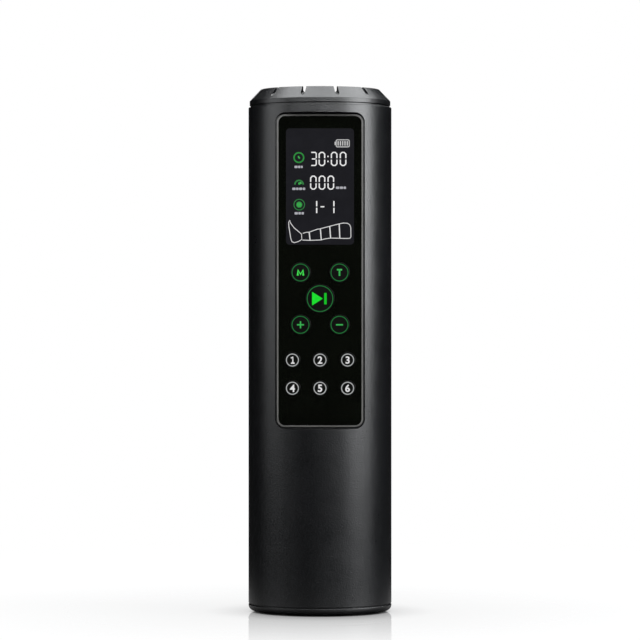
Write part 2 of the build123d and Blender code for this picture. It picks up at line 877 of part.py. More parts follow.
def charge_screws():
    """Screws through the charging board into the tab's bosses."""
    length = port_back - charge_tab_front
    one = Rot(90, 0, 0) * screw(small_screw_head_radius, small_screw_head_height, small_screw_radius, length)
    return Part() + [Pos(x, port_back, z) * one for x, z in CHARGE_SCREWS]


def charge_port():
    """Reversible charging socket: a flat oval shell, closed behind, with a tongue."""
    shell = across(SlotOverall(port_width, port_thickness), port_back, port_recess_floor, z=port_height)
    inside = SlotOverall(port_width - 2 * port_shell, port_thickness - 2 * port_shell)
    shell -= across(inside, port_back + port_floor, port_recess_floor + cut_over, z=port_height)
    tongue = Rectangle(port_width - 2 * (port_shell + port_tongue_margin), port_tongue_thickness)
    return shell + across(
        tongue, port_back + port_floor / 2, port_recess_floor - port_tongue_setback, z=port_height)


# ---------------------------------------------------------------- pump
def motor_sleeve():
    """Rubber cup round the motor that keeps its vibration from the frame."""
    body = disc(sleeve_radius, shelf_mid_top, shelf_mid_top + cup_height, 0, pump_y)
    body -= disc(motor_radius + sleeve_gap, motor_bottom, motor_top, 0, pump_y)
    return body - disc(motor_radius / 2, shelf_mid_top - cut_over, motor_bottom + cut_over, 0, pump_y)


def pump_motor():
    """Motor can with a bore for its shaft."""
    can = disc(motor_radius, motor_bottom, motor_top, 0, pump_y)
    rim = can.edges().filter_by(GeomType.CIRCLE)
    can = fillet(rim, motor_edge_round)
    bore_floor = motor_bottom + motor_end_wall
    return can - disc(motor_shaft_radius + shaft_clearance, bore_floor, motor_top + cut_over, 0, pump_y)


def motor_rotor():
    """Shaft with its eccentric crank and pin, which turns as one."""
    shaft = disc(motor_shaft_radius, motor_bottom + motor_end_wall + shaft_end_gap, crank_top, 0, pump_y)
    pin_top = wobble_top - wobble_hub_roof - crank_pin_gap
    pin = disc(crank_pin_radius, crank_top, pin_top, crank_pin_offset, pump_y)
    return shaft + disc(crank_radius, crank_bottom, crank_top, 0, pump_y) + pin


def pump_screw_places():
    """X and Y of the screws that hold the pump together."""
    step = 360 / pump_screw_count
    places = [polar(pump_screw_circle, 30 + index * step) for index in range(pump_screw_count)]
    return [(x, y + pump_y) for x, y in places]


def drill_pump(solid, low, high):
    """The solid with the pump's screw holes through it."""
    for x, y in pump_screw_places():
        solid -= disc(small_screw_hole_radius, low - cut_over, high + cut_over, x, y)
    return solid


def diaphragm_places():
    """X and Y of the three pumping cups."""
    places = [polar(diaphragm_circle_radius, 90 + index * 120) for index in range(3)]
    return [(x, y + pump_y) for x, y in places]


def pump_crankcase():
    """Housing on the motor in which the crank turns."""
    case = disc(crankcase_radius, motor_top, crankcase_top, 0, pump_y)
    floor, inner_radius = motor_top + crankcase_wall, crankcase_radius - crankcase_wall
    case -= disc(inner_radius, floor, crankcase_top + cut_over, 0, pump_y)
    case -= disc(shaft_opening_radius, motor_top - cut_over, crank_bottom, 0, pump_y)
    outline = disc(crankcase_radius, motor_top, crankcase_top, 0, pump_y)
    for x, y in pump_screw_places():
        case += disc(pump_boss_radius, motor_top, crankcase_top, x, y) & outline
    return drill_pump(case, floor, crankcase_top)


def wobble_plate():
    """Three-armed plate that the crank pin rocks under the diaphragm."""
    body = disc(wobble_hub_radius, wobble_bottom, wobble_top, 0, pump_y)
    half = wobble_arm_width / 2
    arm = block((0, wobble_radius), (-half, half), (wobble_top - wobble_arm_thickness, wobble_top))
    for index in range(3):
        body += Pos(0, pump_y, 0) * Rot(0, 0, 90 + index * 120) * arm
    hub_bore = crank_pin_offset + crank_pin_radius + wobble_hub_gap
    return body - disc(hub_bore, wobble_bottom - cut_over, wobble_top - wobble_hub_roof, 0, pump_y)


def diaphragm():
    """Rubber sheet with three hollow pumping cups."""
    sheet = disc(crankcase_radius, crankcase_top, diaphragm_top, 0, pump_y)
    for x, y in diaphragm_places():
        sheet += disc(diaphragm_cup_radius, wobble_top, crankcase_top, x, y)
        sheet -= disc(diaphragm_cup_radius - diaphragm_cup_wall, wobble_top + diaphragm_cup_wall,
                      diaphragm_top + cut_over, x, y)
    return drill_pump(sheet, crankcase_top, diaphragm_top)


def valve_plate():
    """Plate with an inlet and an outlet port over each pumping cup."""
    body = disc(crankcase_radius, diaphragm_top, valve_plate_top, 0, pump_y)
    for x, y in diaphragm_places():
        for side in (-1, 1):
            port_x = x + side * diaphragm_cup_radius / 2
            body -= disc(nipple_bore_radius, diaphragm_top - cut_over, valve_plate_top + cut_over, port_x, y)
    return drill_pump(body, diaphragm_top, valve_plate_top)


def pump_head():
    """Top of the pump with its outlet nipple."""
    head = disc(crankcase_radius, valve_plate_top, head_top, 0, pump_y)
    head -= disc(pump_screw_circle - head_chamber_step, valve_plate_top - cut_over, head_top - crankcase_wall,
                 0, pump_y)
    head -= disc(nipple_bore_radius, valve_plate_top, head_top + cut_over, 0, pump_y)
    head += Pos(0, pump_y, head_top) * barbed_nipple(tube_nipple_length)
    return drill_pump(head, valve_plate_top, head_top)


def pump_screws():
    """Long screws from the pump head down into the crankcase."""
    length = head_top - crankcase_top + screw_grip
    one = Rot(180, 0, 0) * screw(small_screw_head_radius, small_screw_head_height, small_screw_radius, length)
    return Part() + [Pos(x, y, head_top) * one for x, y in pump_screw_places()]


# ---------------------------------------------------------------- air path above the pump
def supply_tube():
    """Tube from the pump's outlet to the manifold's inlet."""
    return silicone_tube(head_top + tube_end_gap, manifold_bottom - tube_end_gap, 0, pump_y)


def valve_manifold():
    """Block that spreads the pump's air to the six valves, with its inlet nipple below."""
    depth = manifold_back - manifold_front
    middle = (manifold_back + manifold_front) / 2
    width = 2 * manifold_half_width
    body = upright_slab(width, depth, manifold_corner, manifold_bottom, manifold_top, middle)
    gallery = manifold_bottom + manifold_height / 2
    body -= disc(nipple_bore_radius, manifold_bottom - cut_over, gallery, 0, pump_y)
    for x, y in VALVES:
        body -= disc(nipple_bore_radius, gallery, manifold_top + cut_over, x, y)
    return body + Pos(0, pump_y, manifold_bottom) * Rot(180, 0, 0) * barbed_nipple(tube_nipple_length)


def solenoid_valve():
    """Valve standing on z=0: base, coil, steel yoke and outlet nipple."""
    half_width, half_depth = valve_width / 2, valve_depth / 2
    spans = (-half_width, half_width), (-half_depth, half_depth)
    body = block(*spans, (0, valve_base)) + disc(valve_coil_radius, valve_base, valve_height - valve_yoke)
    body += block(*spans, (valve_height - valve_yoke, valve_height))
    body += block((-half_width, valve_yoke - half_width), spans[1], (valve_base, valve_height - valve_yoke))
    return body + Pos(0, 0, valve_height) * barbed_nipple(tube_nipple_length)


def solenoid_valves():
    """Six valves in two rows, one for each air chamber of a boot."""
    one = solenoid_valve()
    return Part() + [Pos(x, y, manifold_top) * one for x, y in VALVES]


def air_tubes():
    """Tube from each valve up to the hose spreader."""
    low, high = valve_top + tube_end_gap, spreader_bottom - tube_end_gap
    return Part() + [silicone_tube(low, high, x, y) for x, y in VALVES]


def pressure_sensor():
    """Sensor on the manifold's shelf, against the manifold's back."""
    half = sensor_width / 2
    return block((-half, half), (manifold_back, manifold_back + sensor_depth),
                 (manifold_bottom, manifold_bottom + sensor_height))


# ---------------------------------------------------------------- the assembly
PARTS = {
    "body_tube": body_tube(),
    "top_cap": top_cap(),
    "socket_deck": socket_deck(),
    "left_nipple_block": nipple_block(-1),
    "right_nipple_block": nipple_block(1),
    "socket_seals": socket_seals(),
    "hose_spreader": hose_spreader(),
    "spreader_screws": spreader_screws(),
    "base_cap": base_cap(),
    "foot_pads": foot_pads(),
    "base_seal": base_seal(),
    "base_screws": base_screws(),
    "intake_filter": intake_filter(),
    "panel_bezel": panel_bezel(),
    "front_lens": front_lens(),
    "key_switches": key_switches(),
    "display_gasket": display_gasket(),
    "display_module": display_module(),
    "display_holder": display_holder(),
    "main_board": main_board(),
    "board_screws": board_screws(),
    "buzzer": buzzer(),
    "inner_frame": inner_frame(),
    "battery_cells": battery_cells(),
    "lower_battery_holder": battery_holder(shelf_low_top, cell_bottom + holder_cup_depth, True),
    "upper_battery_holder": battery_holder(cell_top - holder_cup_depth, holder_top, False),
    "battery_strips": battery_strips(),
    "charge_board": charge_board(),
    "charge_screws": charge_screws(),
    "charge_port": charge_port(),
    "motor_sleeve": motor_sleeve(),
    "pump_motor": pump_motor(),
    "motor_rotor": motor_rotor(),
    "pump_crankcase": pump_crankcase(),
    "wobble_plate": wobble_plate(),
    "diaphragm": diaphragm(),
    "valve_plate": valve_plate(),
    "pump_head": pump_head(),
    "pump_screws": pump_screws(),
    "supply_tube": supply_tube(),
    "valve_manifold": valve_manifold(),
    "solenoid_valves": solenoid_valves(),
    "air_tubes": air_tubes(),
    "pressure_sensor": pressure_sensor(),
}
for key_name, (key_x, key_z, cap_radius) in KEYS.items():
    PARTS[key_name] = key(key_x, key_z, cap_radius)

os.makedirs("parts", exist_ok=True)
for part_name, solid_shape in PARTS.items():
    export_step(solid_shape, f"parts/{part_name}.step")
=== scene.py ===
"""Finishes, key legends, lit screen and studio of an upright air compression pump."""
import math

import bpy
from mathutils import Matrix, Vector


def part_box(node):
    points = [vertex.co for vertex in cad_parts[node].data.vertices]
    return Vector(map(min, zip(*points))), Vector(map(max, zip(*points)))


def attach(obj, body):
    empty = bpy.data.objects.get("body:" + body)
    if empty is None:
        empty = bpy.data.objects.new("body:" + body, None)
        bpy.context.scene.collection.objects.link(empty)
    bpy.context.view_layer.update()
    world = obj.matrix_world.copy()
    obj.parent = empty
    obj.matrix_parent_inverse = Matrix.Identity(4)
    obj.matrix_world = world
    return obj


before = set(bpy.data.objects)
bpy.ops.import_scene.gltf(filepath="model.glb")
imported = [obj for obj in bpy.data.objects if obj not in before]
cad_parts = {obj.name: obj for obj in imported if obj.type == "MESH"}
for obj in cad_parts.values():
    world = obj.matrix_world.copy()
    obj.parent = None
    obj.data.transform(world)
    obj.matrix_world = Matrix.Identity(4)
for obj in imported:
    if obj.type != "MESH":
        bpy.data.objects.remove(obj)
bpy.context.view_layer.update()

bl_info = {
    "name": "Air Pump Dressing",
    "version": (1, 0, 0),
    "blender": (4, 5, 0),
    "location": "3D View > Sidebar > Air Pump",
    "description": "Finishes, key legends, lit screen and studio of an air compression pump",
    "category": "Object",
}

MM = 0.001
UPRIGHT = (math.pi / 2, 0, 0)
OUT = Vector((0, -1, 0))
WHITE = (1.0, 1.0, 1.0)

LENS_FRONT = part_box("front_lens")[0].y
SCREEN = sum(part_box("display_module"), Vector()) / 2
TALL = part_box("top_cap")[1].z

CONTROL_KEYS = ("mode_key", "timer_key", "play_key", "plus_key", "minus_key")
CHAMBER_KEYS = tuple(f"chamber_key_{number}" for number in range(1, 7))
KEY_FLANGE = 0.8 * MM  # round the foot of each cap, behind the window
AIR_GAP = 0.004 * MM  # keeps a flat mark clear of the face behind it
FIELD_LAYER, MARK_LAYER = 0, 1  # layers of the screen, counted outwards from the window

# lines of the two letters and of the one, in millimetres from the middle of their keys
MODE_LETTER = [[(-1.35, -1.45), (-1.2, 1.2), (0, -0.9), (1.2, 1.2), (1.35, -1.45)]]
TIMER_LETTER = [[(-1.25, 1.35), (1.25, 1.35)], [(0, 1.35), (0, -1.65)]]
NUMBER_ONE = [[(-0.75, 0.9), (0.2, 1.45), (0.2, -1.6)], [(-0.7, -1.5), (1.05, -1.5)]]


# ---------------------------------------------------------------- sizes and colours
def colour(name, description, default):
    """Colour property."""
    return bpy.props.FloatVectorProperty(
        name=name, description=description, default=default, size=3, min=0, max=1, subtype="COLOR")


def length(name, description, default):
    """Length property, in metres."""
    return bpy.props.FloatProperty(
        name=name, description=description, default=default, min=0, unit="LENGTH", precision=5)


def share(name, description, default):
    """Property from nought to one."""
    return bpy.props.FloatProperty(
        name=name, description=description, default=default, min=0, max=1, subtype="FACTOR")


def power(name, description, default):
    """Lamp power property, in watts."""
    return bpy.props.FloatProperty(
        name=name, description=description, default=default, min=0, unit="POWER")


class CaseFinish(bpy.types.PropertyGroup):
    """Finish of the case and of the panel's window and frame."""

    case_colour: colour("Case", "Satin black of the tube and its caps", (0.0024, 0.0026, 0.0033))
    case_roughness: share("Case roughness", "Sheen of the moulded case, higher is duller", 0.31)
    case_gloss: share("Case gloss", "Strength of the moulded case's reflections", 0.75)
    case_speck: share("Case speck", "How much the grain lightens and darkens the case", 0.45)
    grain_size: length("Grain", "Distance between the bumps of the moulded texture", 0.0007)
    grain_depth: length("Grain depth", "Height of those bumps", 0.000085)
    window_colour: colour("Window", "Gloss black of the window and the key caps", (0.0015, 0.0018, 0.0012))
    window_roughness: share("Window roughness", "Polish of the window, lower is glossier", 0.055)
    key_roughness: share("Key roughness", "Spread of the reflections in the key caps", 0.35)
    bezel_colour: colour("Bezel", "Dark grey of the thin frame round the window", (0.095, 0.093, 0.088))
    bezel_roughness: share("Bezel roughness", "Sheen of the thin frame", 0.34)


class KeyLegends(bpy.types.PropertyGroup):
    """Marks on the keys."""

    print_thickness: length("Print thickness", "How far the marks stand off the caps", 0.00003)
    control_margin: length("Control margin", "From the edge of a control cap to its ring", 0.0007)
    chamber_margin: length("Number margin", "From the edge of a numbered cap to its ring", 0.00082)
    control_ring: length("Control ring", "Line width of the rings round the five control marks", 0.00042)
    chamber_ring: length("Chamber ring", "Line width of the rings round the six numbers", 0.00046)
    mode_stroke: length("Mode stroke", "Line width of the mode key's letter", 0.00095)
    timer_stroke: length("Timer stroke", "Line width of the timer key's letter", 0.00082)
    number_stroke: length("Number stroke", "Line width of the one", 0.00066)
    number_height: length("Number height", "Height of the numbers two to six", 0.0036)
    number_weight: length("Number weight", "How far their outlines are swollen", 0.00009)
    sign_reach: length("Sign reach", "Width of the plus and minus signs", 0.0034)
    sign_stroke: length("Sign stroke", "Line width of the plus and minus signs", 0.00068)
    sign_corner: length("Sign corner", "Corner radius of the minus sign", 0.0001)
    dim_green: colour("Dim green", "Rings of the control keys", (0.016, 0.160, 0.038))
    green: colour("Green", "Letter of the timer key, plus and minus", (0.042, 0.42, 0.085))
    letter_green: colour("Letter green", "Letter of the mode key", (0.06, 0.80, 0.095))
    bright_green: colour("Bright green", "Start mark", (0.014, 0.74, 0.032))
    ring_grey: colour("Ring grey", "Rings round the numbers", (0.40, 0.415, 0.415))
    number_grey: colour("Number grey", "Numbers", (0.74, 0.74, 0.74))


class ScreenMarks(bpy.types.PropertyGroup):
    """Lit screen behind the window."""

    width: length("Width", "Width of the lit field", 0.0328)
    height: length("Height", "Height of the lit field", 0.0561)
    corner: length("Corner", "Corner radius of the lit field", 0.0018)
    depth: length("Layer", "Thickness of each layer of the screen", 0.00004)
    digit_stroke: length("Digit stroke", "Line width of the large digits", 0.0006)
    digit_gap: length("Digit gap", "Break between the halves of a digit", 0.0007)
    leg_stroke: length("Leg stroke", "Line width of the leg drawing", 0.00036)
    rung_stroke: length("Rung stroke", "Line width between the chambers of the leg drawing", 0.00054)
    field_colour: colour("Field", "Screen where nothing is lit", (0.0125, 0.0125, 0.0155))
    white: colour("White", "Lit digits and lines", (0.86, 0.86, 0.86))
    grey: colour("Grey", "Captions", (0.42, 0.42, 0.46))
    green: colour("Green", "Lit symbols", (0.045, 0.40, 0.075))
    dim_green: colour("Dim green", "Fainter parts of the lit symbols", (0.032, 0.20, 0.052))


class StudioSet(bpy.types.PropertyGroup):
    """Camera, floor and lamps."""

    camera_distance: length("Camera distance", "From the pump's axis to the camera", 1.69)
    camera_height: length("Camera height", "Height of the level camera", 0.1426)
    focal_length: bpy.props.FloatProperty(
        name="Focal length", description="Lens of the camera, in millimetres", default=194, min=10,
        unit="CAMERA")
    right_power: power("Right lamp", "Power of the tall lamp on the right", 9.2)
    left_power: power("Left lamp", "Power of the tall lamp on the left", 1.65)
    soft_share: share("Soft lamps", "Power of the two softer lamps beside those, as a share", 0.14)
    front_power: power("Front lamp", "Power of the lamp above the camera", 5.1)
    upper_power: power("Upper lamp", "Power of the small lamp before the pump's upper end", 1.1)
    top_power: power("Top lamp", "Power of the lamp overhead", 17.3)
    lamp_colour: colour("Lamps", "Slightly cool white of the lamps", (0.965, 0.985, 1.0))
    fill: share("Fill", "Brightness of the room round the pump", 0.003)
    backdrop_half_angle: bpy.props.FloatProperty(
        name="Backdrop", description="Half the angle that the white backdrop fills",
        default=math.radians(7), min=0.01, subtype="ANGLE")
    floor_width: length("Floor width", "Side of the square floor", 12)
    floor_gleam: share("Floor gleam", "How much of the white floor shows in the pump's gloss", 0.01)
    floor_shine: share("Floor shine", "Brightness of the pump's mirror image at its foot", 0.75)


SETTINGS = {
    "pump_case": CaseFinish,
    "pump_legends": KeyLegends,
    "pump_screen": ScreenMarks,
    "pump_studio": StudioSet,
}


# ---------------------------------------------------------------- modelling by hand
def clear_selection():
    """Leaves edit mode and deselects everything, the frame's own nodes included."""
    active = bpy.context.view_layer.objects.active
    if active and active.mode != "OBJECT":
        bpy.ops.object.mode_set(mode="OBJECT")
    bpy.ops.object.select_all(action="DESELECT")


def edit_all():
    """Opens the new piece in edit mode with all of it selected."""
    bpy.ops.object.mode_set(mode="EDIT")
    bpy.ops.mesh.select_all(action="SELECT")


def close_edit():
    """Welds the open piece, turns its faces outwards and leaves edit mode."""
    bpy.ops.mesh.select_all(action="SELECT")
    bpy.ops.mesh.remove_doubles(threshold=1e-6)
    bpy.ops.mesh.normals_make_consistent(inside=False)
    bpy.ops.object.mode_set(mode="OBJECT")


def apply_place():
    """Moves the active piece's place, turn and size into its mesh."""
    bpy.ops.object.transform_apply(location=True, rotation=True, scale=True)
    return bpy.context.object


def extent(piece, axis):
    """Lowest and highest place of a piece along one axis."""
    places = [vertex.co[axis] for vertex in piece.data.vertices]
    return min(places), max(places)


def start_rectangle(x, z, width, height, corner, back):
    """Starts a flat upright rectangle with rounded corners, open in edit mode."""
    clear_selection()
    bpy.ops.mesh.primitive_plane_add(size=1, location=(x, back, z), rotation=UPRIGHT)
    bpy.context.object.scale = (width, height, 1)
    apply_place()
    edit_all()
    bpy.ops.mesh.bevel(offset=corner, segments=6, affect="VERTICES")


def start_round(x, z, radius, back, corners):
    """Starts a flat upright circle, or a regular shape of few corners, open in edit mode."""
    clear_selection()
    bpy.ops.mesh.primitive_circle_add(
        vertices=corners, radius=radius, fill_type="NGON", location=(x, back, z), rotation=UPRIGHT)
    apply_place()
    edit_all()


def cut_middle(border):
    """Cuts the middle out of the flat open piece and leaves its border."""
    bpy.ops.mesh.select_all(action="SELECT")
    bpy.ops.mesh.inset(thickness=border)
    bpy.ops.mesh.delete(type="FACE")


def thicken(thickness):
    """Pulls the flat faces of the open piece forwards into a thin plate and closes it."""
    bpy.ops.mesh.select_all(action="SELECT")
    bpy.ops.mesh.extrude_region_move(TRANSFORM_OT_translate={"value": OUT * thickness})
    close_edit()
    return bpy.context.object


def plate(x, z, width, height, corner, back, thickness):
    """Thin plate with rounded corners that faces the front."""
    start_rectangle(x, z, width, height, corner, back)
    return thicken(thickness)


def frame_plate(x, z, width, height, corner, border, back, thickness):
    """Rounded plate of which only the border is left."""
    start_rectangle(x, z, width, height, corner, back)
    cut_middle(border)
    return thicken(thickness)


def disc(x, z, radius, back, thickness):
    """Thin round plate."""
    start_round(x, z, radius, back, corners=64)
    return thicken(thickness)


def ring(x, z, radius, width, back, thickness):
    """Thin round plate with its middle cut out."""
    start_round(x, z, radius, back, corners=96)
    cut_middle(width)
    return thicken(thickness)


def bead_lines(lines, width, back, thickness):
    """Line work: each line is its points (x, z) and whether it closes, drawn as a flattened bead."""
    clear_selection()
    bpy.ops.object.add(type="CURVE")
    drawing = bpy.context.object
    drawing.data.dimensions = "3D"
    centre = back - thickness / 2
    for points, closed in lines:
        spline = drawing.data.splines.new("POLY")
        spline.points.add(len(points) - 1)
        for place, (x, z) in zip(spline.points, points):
            place.co = (x, centre, z, 1)
        spline.use_cyclic_u = closed
    drawing.data.bevel_depth = width / 2
    drawing.data.bevel_resolution = 3
    drawing.data.use_fill_caps = True
    bpy.ops.object.convert(target="MESH")
    edit_all()
    bpy.ops.transform.resize(value=(1, thickness / width, 1), center_override=(0, centre, 0))
    close_edit()
    return bpy.context.object


def letter(text, x, z, height, weight, back, thickness):
    """One letter or number of a given height, made bolder by weight, as a thin plate."""
    clear_selection()
    bpy.ops.object.text_add(align="WORLD", rotation=UPRIGHT)
    drawing = bpy.context.object
    drawing.data.body = text
    drawing.data.size = height
    drawing.data.offset = weight
    drawing.data.extrude = thickness / 2
    bpy.ops.object.convert(target="MESH")
    piece = apply_place()
    (left, right), (_, rear), (low, high) = (extent(piece, axis) for axis in range(3))
    grow = height / (high - low)
    piece.scale = (grow, 1, grow)
    piece.location = (x - (left + right) / 2 * grow, back - rear, z - (low + high) / 2 * grow)
    apply_place()
    edit_all()
    close_edit()
    return piece


def copy_to(piece, across, up):
    """Copy of a piece with a mesh of its own, moved across and up."""
    clear_selection()
    piece.select_set(True)
    bpy.context.view_layer.objects.active = piece
    bpy.ops.object.duplicate(linked=False)
    bpy.context.object.location = (across, 0, up)
    return apply_place()


def paint(piece, finish):
    """Gives a piece one finish."""
    piece.data.materials.clear()
    piece.data.materials.append(finish)
    return piece


def join(pieces):
    """Joins several pieces into the first, which keeps every finish."""
    clear_selection()
    for piece in pieces:
        piece.select_set(True)
    bpy.context.view_layer.objects.active = pieces[0]
    bpy.ops.object.join()
    return bpy.context.object


def settle(piece, name, body):
    """Names a finished piece and lets it ride on a body of the pump."""
    piece.name = piece.data.name = name
    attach(piece, body)


# ---------------------------------------------------------------- finishes
class Nodes:
    """Node tree that is filled from empty."""

    def __init__(self, tree):
        self.tree = tree
        tree.nodes.clear()

    def feed(self, source, socket):
        """Joins a node or one of its outputs to a socket, or gives the socket a plain value."""
        if isinstance(source, bpy.types.Node):
            source = source.outputs[0]
        if isinstance(source, bpy.types.NodeSocket):
            self.tree.links.new(source, socket)
        else:
            socket.default_value = (*source, 1) if socket.type == "RGBA" else source

    def add(self, kind, sockets=None, **settings):
        """New node with its settings and what feeds its sockets, by their names or places."""
        node = self.tree.nodes.new(kind)
        for name, value in settings.items():
            setattr(node, name, value)
        for name, source in (sockets or {}).items():
            self.feed(source, node.inputs[name])
        return node

    def calculate(self, operation, first, second):
        """Result of one operation on two numbers."""
        return self.add("ShaderNodeMath", {0: first, 1: second}, operation=operation)

    def mix_shaders(self, amount, first, second):
        """Shader that goes from the first to the second as the amount goes from nought to one."""
        return self.add("ShaderNodeMixShader", {0: amount, 1: first, 2: second})


class Finish(Nodes):
    """Node tree of one material."""

    def __init__(self, name):
        self.material = bpy.data.materials.new(name)
        self.material.use_nodes = True
        super().__init__(self.material.node_tree)
        self.place = self.add("ShaderNodeTexCoord").outputs["Object"]

    def show(self, shader):
        """Joins a finished shader to the material's surface."""
        self.add("ShaderNodeOutputMaterial", {"Surface": shader})
        return self.material

    def surface(self, **sockets):
        """Shows a plain surface with these sources or values on the shader's own sockets."""
        return self.show(self.add("ShaderNodeBsdfPrincipled", {
            name.replace("_", " "): source for name, source in sockets.items()}))

    def noise(self, size, detail=3.0, stretch=(1, 1, 1)):
        """Noise whose blotches are about that size in metres, longer along a stretched axis."""
        mapping = self.add("ShaderNodeMapping", {
            "Vector": self.place, "Scale": [1 / (size * along) for along in stretch]})
        noise = self.add("ShaderNodeTexNoise", {
            "Vector": mapping, "Scale": 1.0, "Detail": detail, "Roughness": 0.55})
        return noise.outputs["Fac"]

    def spread(self, source, low, high, start=0.35, end=0.65):
        """The source's middle range spread between two values."""
        return self.add("ShaderNodeMapRange", {
            "Value": source, "From Min": start, "From Max": end, "To Min": low, "To Max": high})

    def blend(self, amount, first, second, how="MIX"):
        """Colour that goes from the first to the second, or to how both mix, as the amount goes up to one."""
        # the node's colour sockets go by their places, because its other kinds share their names
        mixer = self.add("ShaderNodeMix", {0: amount, 6: first, 7: second}, data_type="RGBA", blend_type=how)
        return mixer.outputs[2]

    def bumps(self, source, depth):
        """Bumps of that depth in metres."""
        return self.add("ShaderNodeBump", {"Distance": depth, "Height": source}).outputs["Normal"]


def tint(base, amount):
    """A colour made lighter or darker by a share."""
    return tuple(min(1.0, channel * (1 + amount)) for channel in base)


def moulded(name, base, roughness, grain, depth, gloss=0.5, speck=0.1):
    """Moulded plastic: fine grain that also specks the colour, slightly uneven sheen, faint cloudiness."""
    finish = Finish(name)
    cloud_size, unevenness = 0.03, 0.12 * roughness
    cloud = finish.spread(finish.noise(cloud_size), 0, 1)
    fine = finish.noise(grain, detail=4)
    clouded = finish.blend(cloud, tint(base, -0.12), tint(base, 0.14))
    specks = finish.blend(finish.spread(fine, 0, 1, start=0.3, end=0.7), (1 - speck,) * 3, (1 + speck,) * 3)
    sheen = finish.spread(fine, roughness - unevenness, roughness)
    dull_patches = finish.spread(finish.noise(cloud_size / 3), 0, unevenness)
    return finish.surface(
        Base_Color=finish.blend(1.0, clouded, specks, how="MULTIPLY"),
        Roughness=finish.calculate("ADD", sheen, dull_patches),
        Normal=finish.bumps(fine, depth),
        Specular_IOR_Level=gloss)


def polished(name, base, roughness):
    """Polished black window: faint wipe marks in its gloss."""
    finish = Finish(name)
    cloud = finish.spread(finish.noise(0.018), 0, 1)
    wipe = finish.noise(0.004, detail=5, stretch=(1, 1, 6))
    return finish.surface(
        Base_Color=finish.blend(cloud, base, tint(base, 0.25)),
        Roughness=finish.spread(wipe, roughness * 0.7, roughness * 1.5),
        Normal=finish.bumps(wipe, 0.0004 * MM),
        IOR=1.48)


def metal(name, base, roughness, grain, stretch=(1, 1, 1)):
    """Metal with a drawn grain."""
    finish = Finish(name)
    drawn = finish.noise(grain, detail=5, stretch=stretch)
    return finish.surface(
        Base_Color=finish.blend(drawn, tint(base, -0.15), tint(base, 0.1)),
        Roughness=finish.spread(drawn, roughness * 0.75, roughness * 1.35),
        Normal=finish.bumps(drawn, 0.003 * MM),
        Metallic=1.0)


def rubbery(name, base, roughness, grain, depth=0.00001, inner=0.0):
    """Rubber or silicone, some light passing through the pale kinds."""
    finish = Finish(name)
    fine = finish.noise(grain, detail=4)
    cloud = finish.spread(finish.noise(grain * 12), 0, 1)
    return finish.surface(
        Base_Color=finish.blend(cloud, tint(base, -0.18), tint(base, 0.12)),
        Roughness=finish.spread(fine, roughness * 0.85, min(1.0, roughness * 1.15)),
        Normal=finish.bumps(fine, depth),
        Subsurface_Weight=inner,
        Subsurface_Scale=2 * MM)


def foam_finish():
    """Open foam: charcoal struts, with the middles of the cells painted darker as shade in the foam's holes.
    """
    finish = Finish("open_foam")
    cells = finish.add("ShaderNodeTexVoronoi", {"Vector": finish.place, "Scale": 1400.0},
                       feature="DISTANCE_TO_EDGE")
    strut = finish.spread(cells.outputs["Distance"], 1, 0, start=0.02, end=0.22)
    return finish.surface(
        # painted shade: away from a strut, towards a cell's middle, the colour goes darker
        Base_Color=finish.blend(strut, (0.012, 0.012, 0.012), (0.075, 0.075, 0.078)),
        Roughness=0.95,
        Normal=finish.bumps(strut, 0.3 * MM))


def board_finish():
    """Lacquered circuit board: copper runs that show lighter through green, with silver pads."""
    finish = Finish("lacquered_board")
    turned = finish.add("ShaderNodeMapping", {"Vector": finish.place, "Rotation": UPRIGHT})
    runs = finish.add(
        "ShaderNodeTexBrick",
        {"Vector": turned, "Scale": 260.0, "Brick Width": 0.8, "Row Height": 0.22,
         "Mortar Size": 0.035, "Mortar": (0.030, 0.230, 0.085),
         "Color1": (0.010, 0.125, 0.045), "Color2": (0.012, 0.150, 0.055)},
        offset=0.35, squash=0.6, squash_frequency=3)
    pads = finish.add("ShaderNodeTexVoronoi", {"Vector": finish.place, "Scale": 330.0, "Randomness": 0.6},
                      feature="F1")
    pad = finish.spread(pads.outputs["Distance"], 1, 0, start=0.13, end=0.16)
    return finish.surface(
        Base_Color=finish.blend(pad, runs.outputs["Color"], (0.55, 0.55, 0.52)),
        Roughness=finish.spread(pad, 0.32, 0.2, start=0, end=1),
        Normal=finish.bumps(runs.outputs["Fac"], 0.03 * MM))


def lit(name, base, cloud_size=0.0012):
    """Lit or printed mark: a glow that is a little uneven, under the gloss of the window; on a printed mark
    the glow is painted light.
    """
    finish = Finish(name)
    uneven = finish.spread(finish.noise(cloud_size, detail=2), 0, 1)
    return finish.surface(
        Base_Color=(0, 0, 0),
        Emission_Color=finish.blend(uneven, tint(base, -0.1), tint(base, 0.05)),
        Emission_Strength=1.0,
        Roughness=finish.spread(finish.noise(0.0004), 0.14, 0.24),
        Specular_IOR_Level=0.08)


def dress(finish, *nodes):
    """Assigns a finish to the material slots of the frame's nodes."""
    for node in nodes:
        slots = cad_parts[node].material_slots
        if not slots:
            raise RuntimeError(f"{node} has no material slot to paint")
        for slot in slots:
            slot.material = finish


# ---------------------------------------------------------------- operators: finishes
class PumpOperator:
    """What every step of the dressing shares."""

    bl_options = {"REGISTER", "UNDO"}


class PUMP_OT_finish_case(PumpOperator, bpy.types.Operator):
    """Satin black on the tube and its caps, rubber on the feet"""

    bl_idname = "pump.finish_case"
    bl_label = "Case"

    def execute(self, context):
        look = context.scene.pump_case
        dress(moulded("satin_case", look.case_colour, look.case_roughness, look.grain_size,
                      look.grain_depth, look.case_gloss, look.case_speck),
              "body_tube", "top_cap", "base_cap")
        dress(moulded("deck_plastic", tint(look.case_colour, 0.3), look.case_roughness + 0.12,
                      look.grain_size, look.grain_depth * 1.5),
              "socket_deck", "left_nipple_block", "right_nipple_block")
        dress(rubbery("foot_rubber", (0.016, 0.016, 0.016), roughness=0.8, grain=0.0006, depth=0.00004),
              "foot_pads")
        return {"FINISHED"}


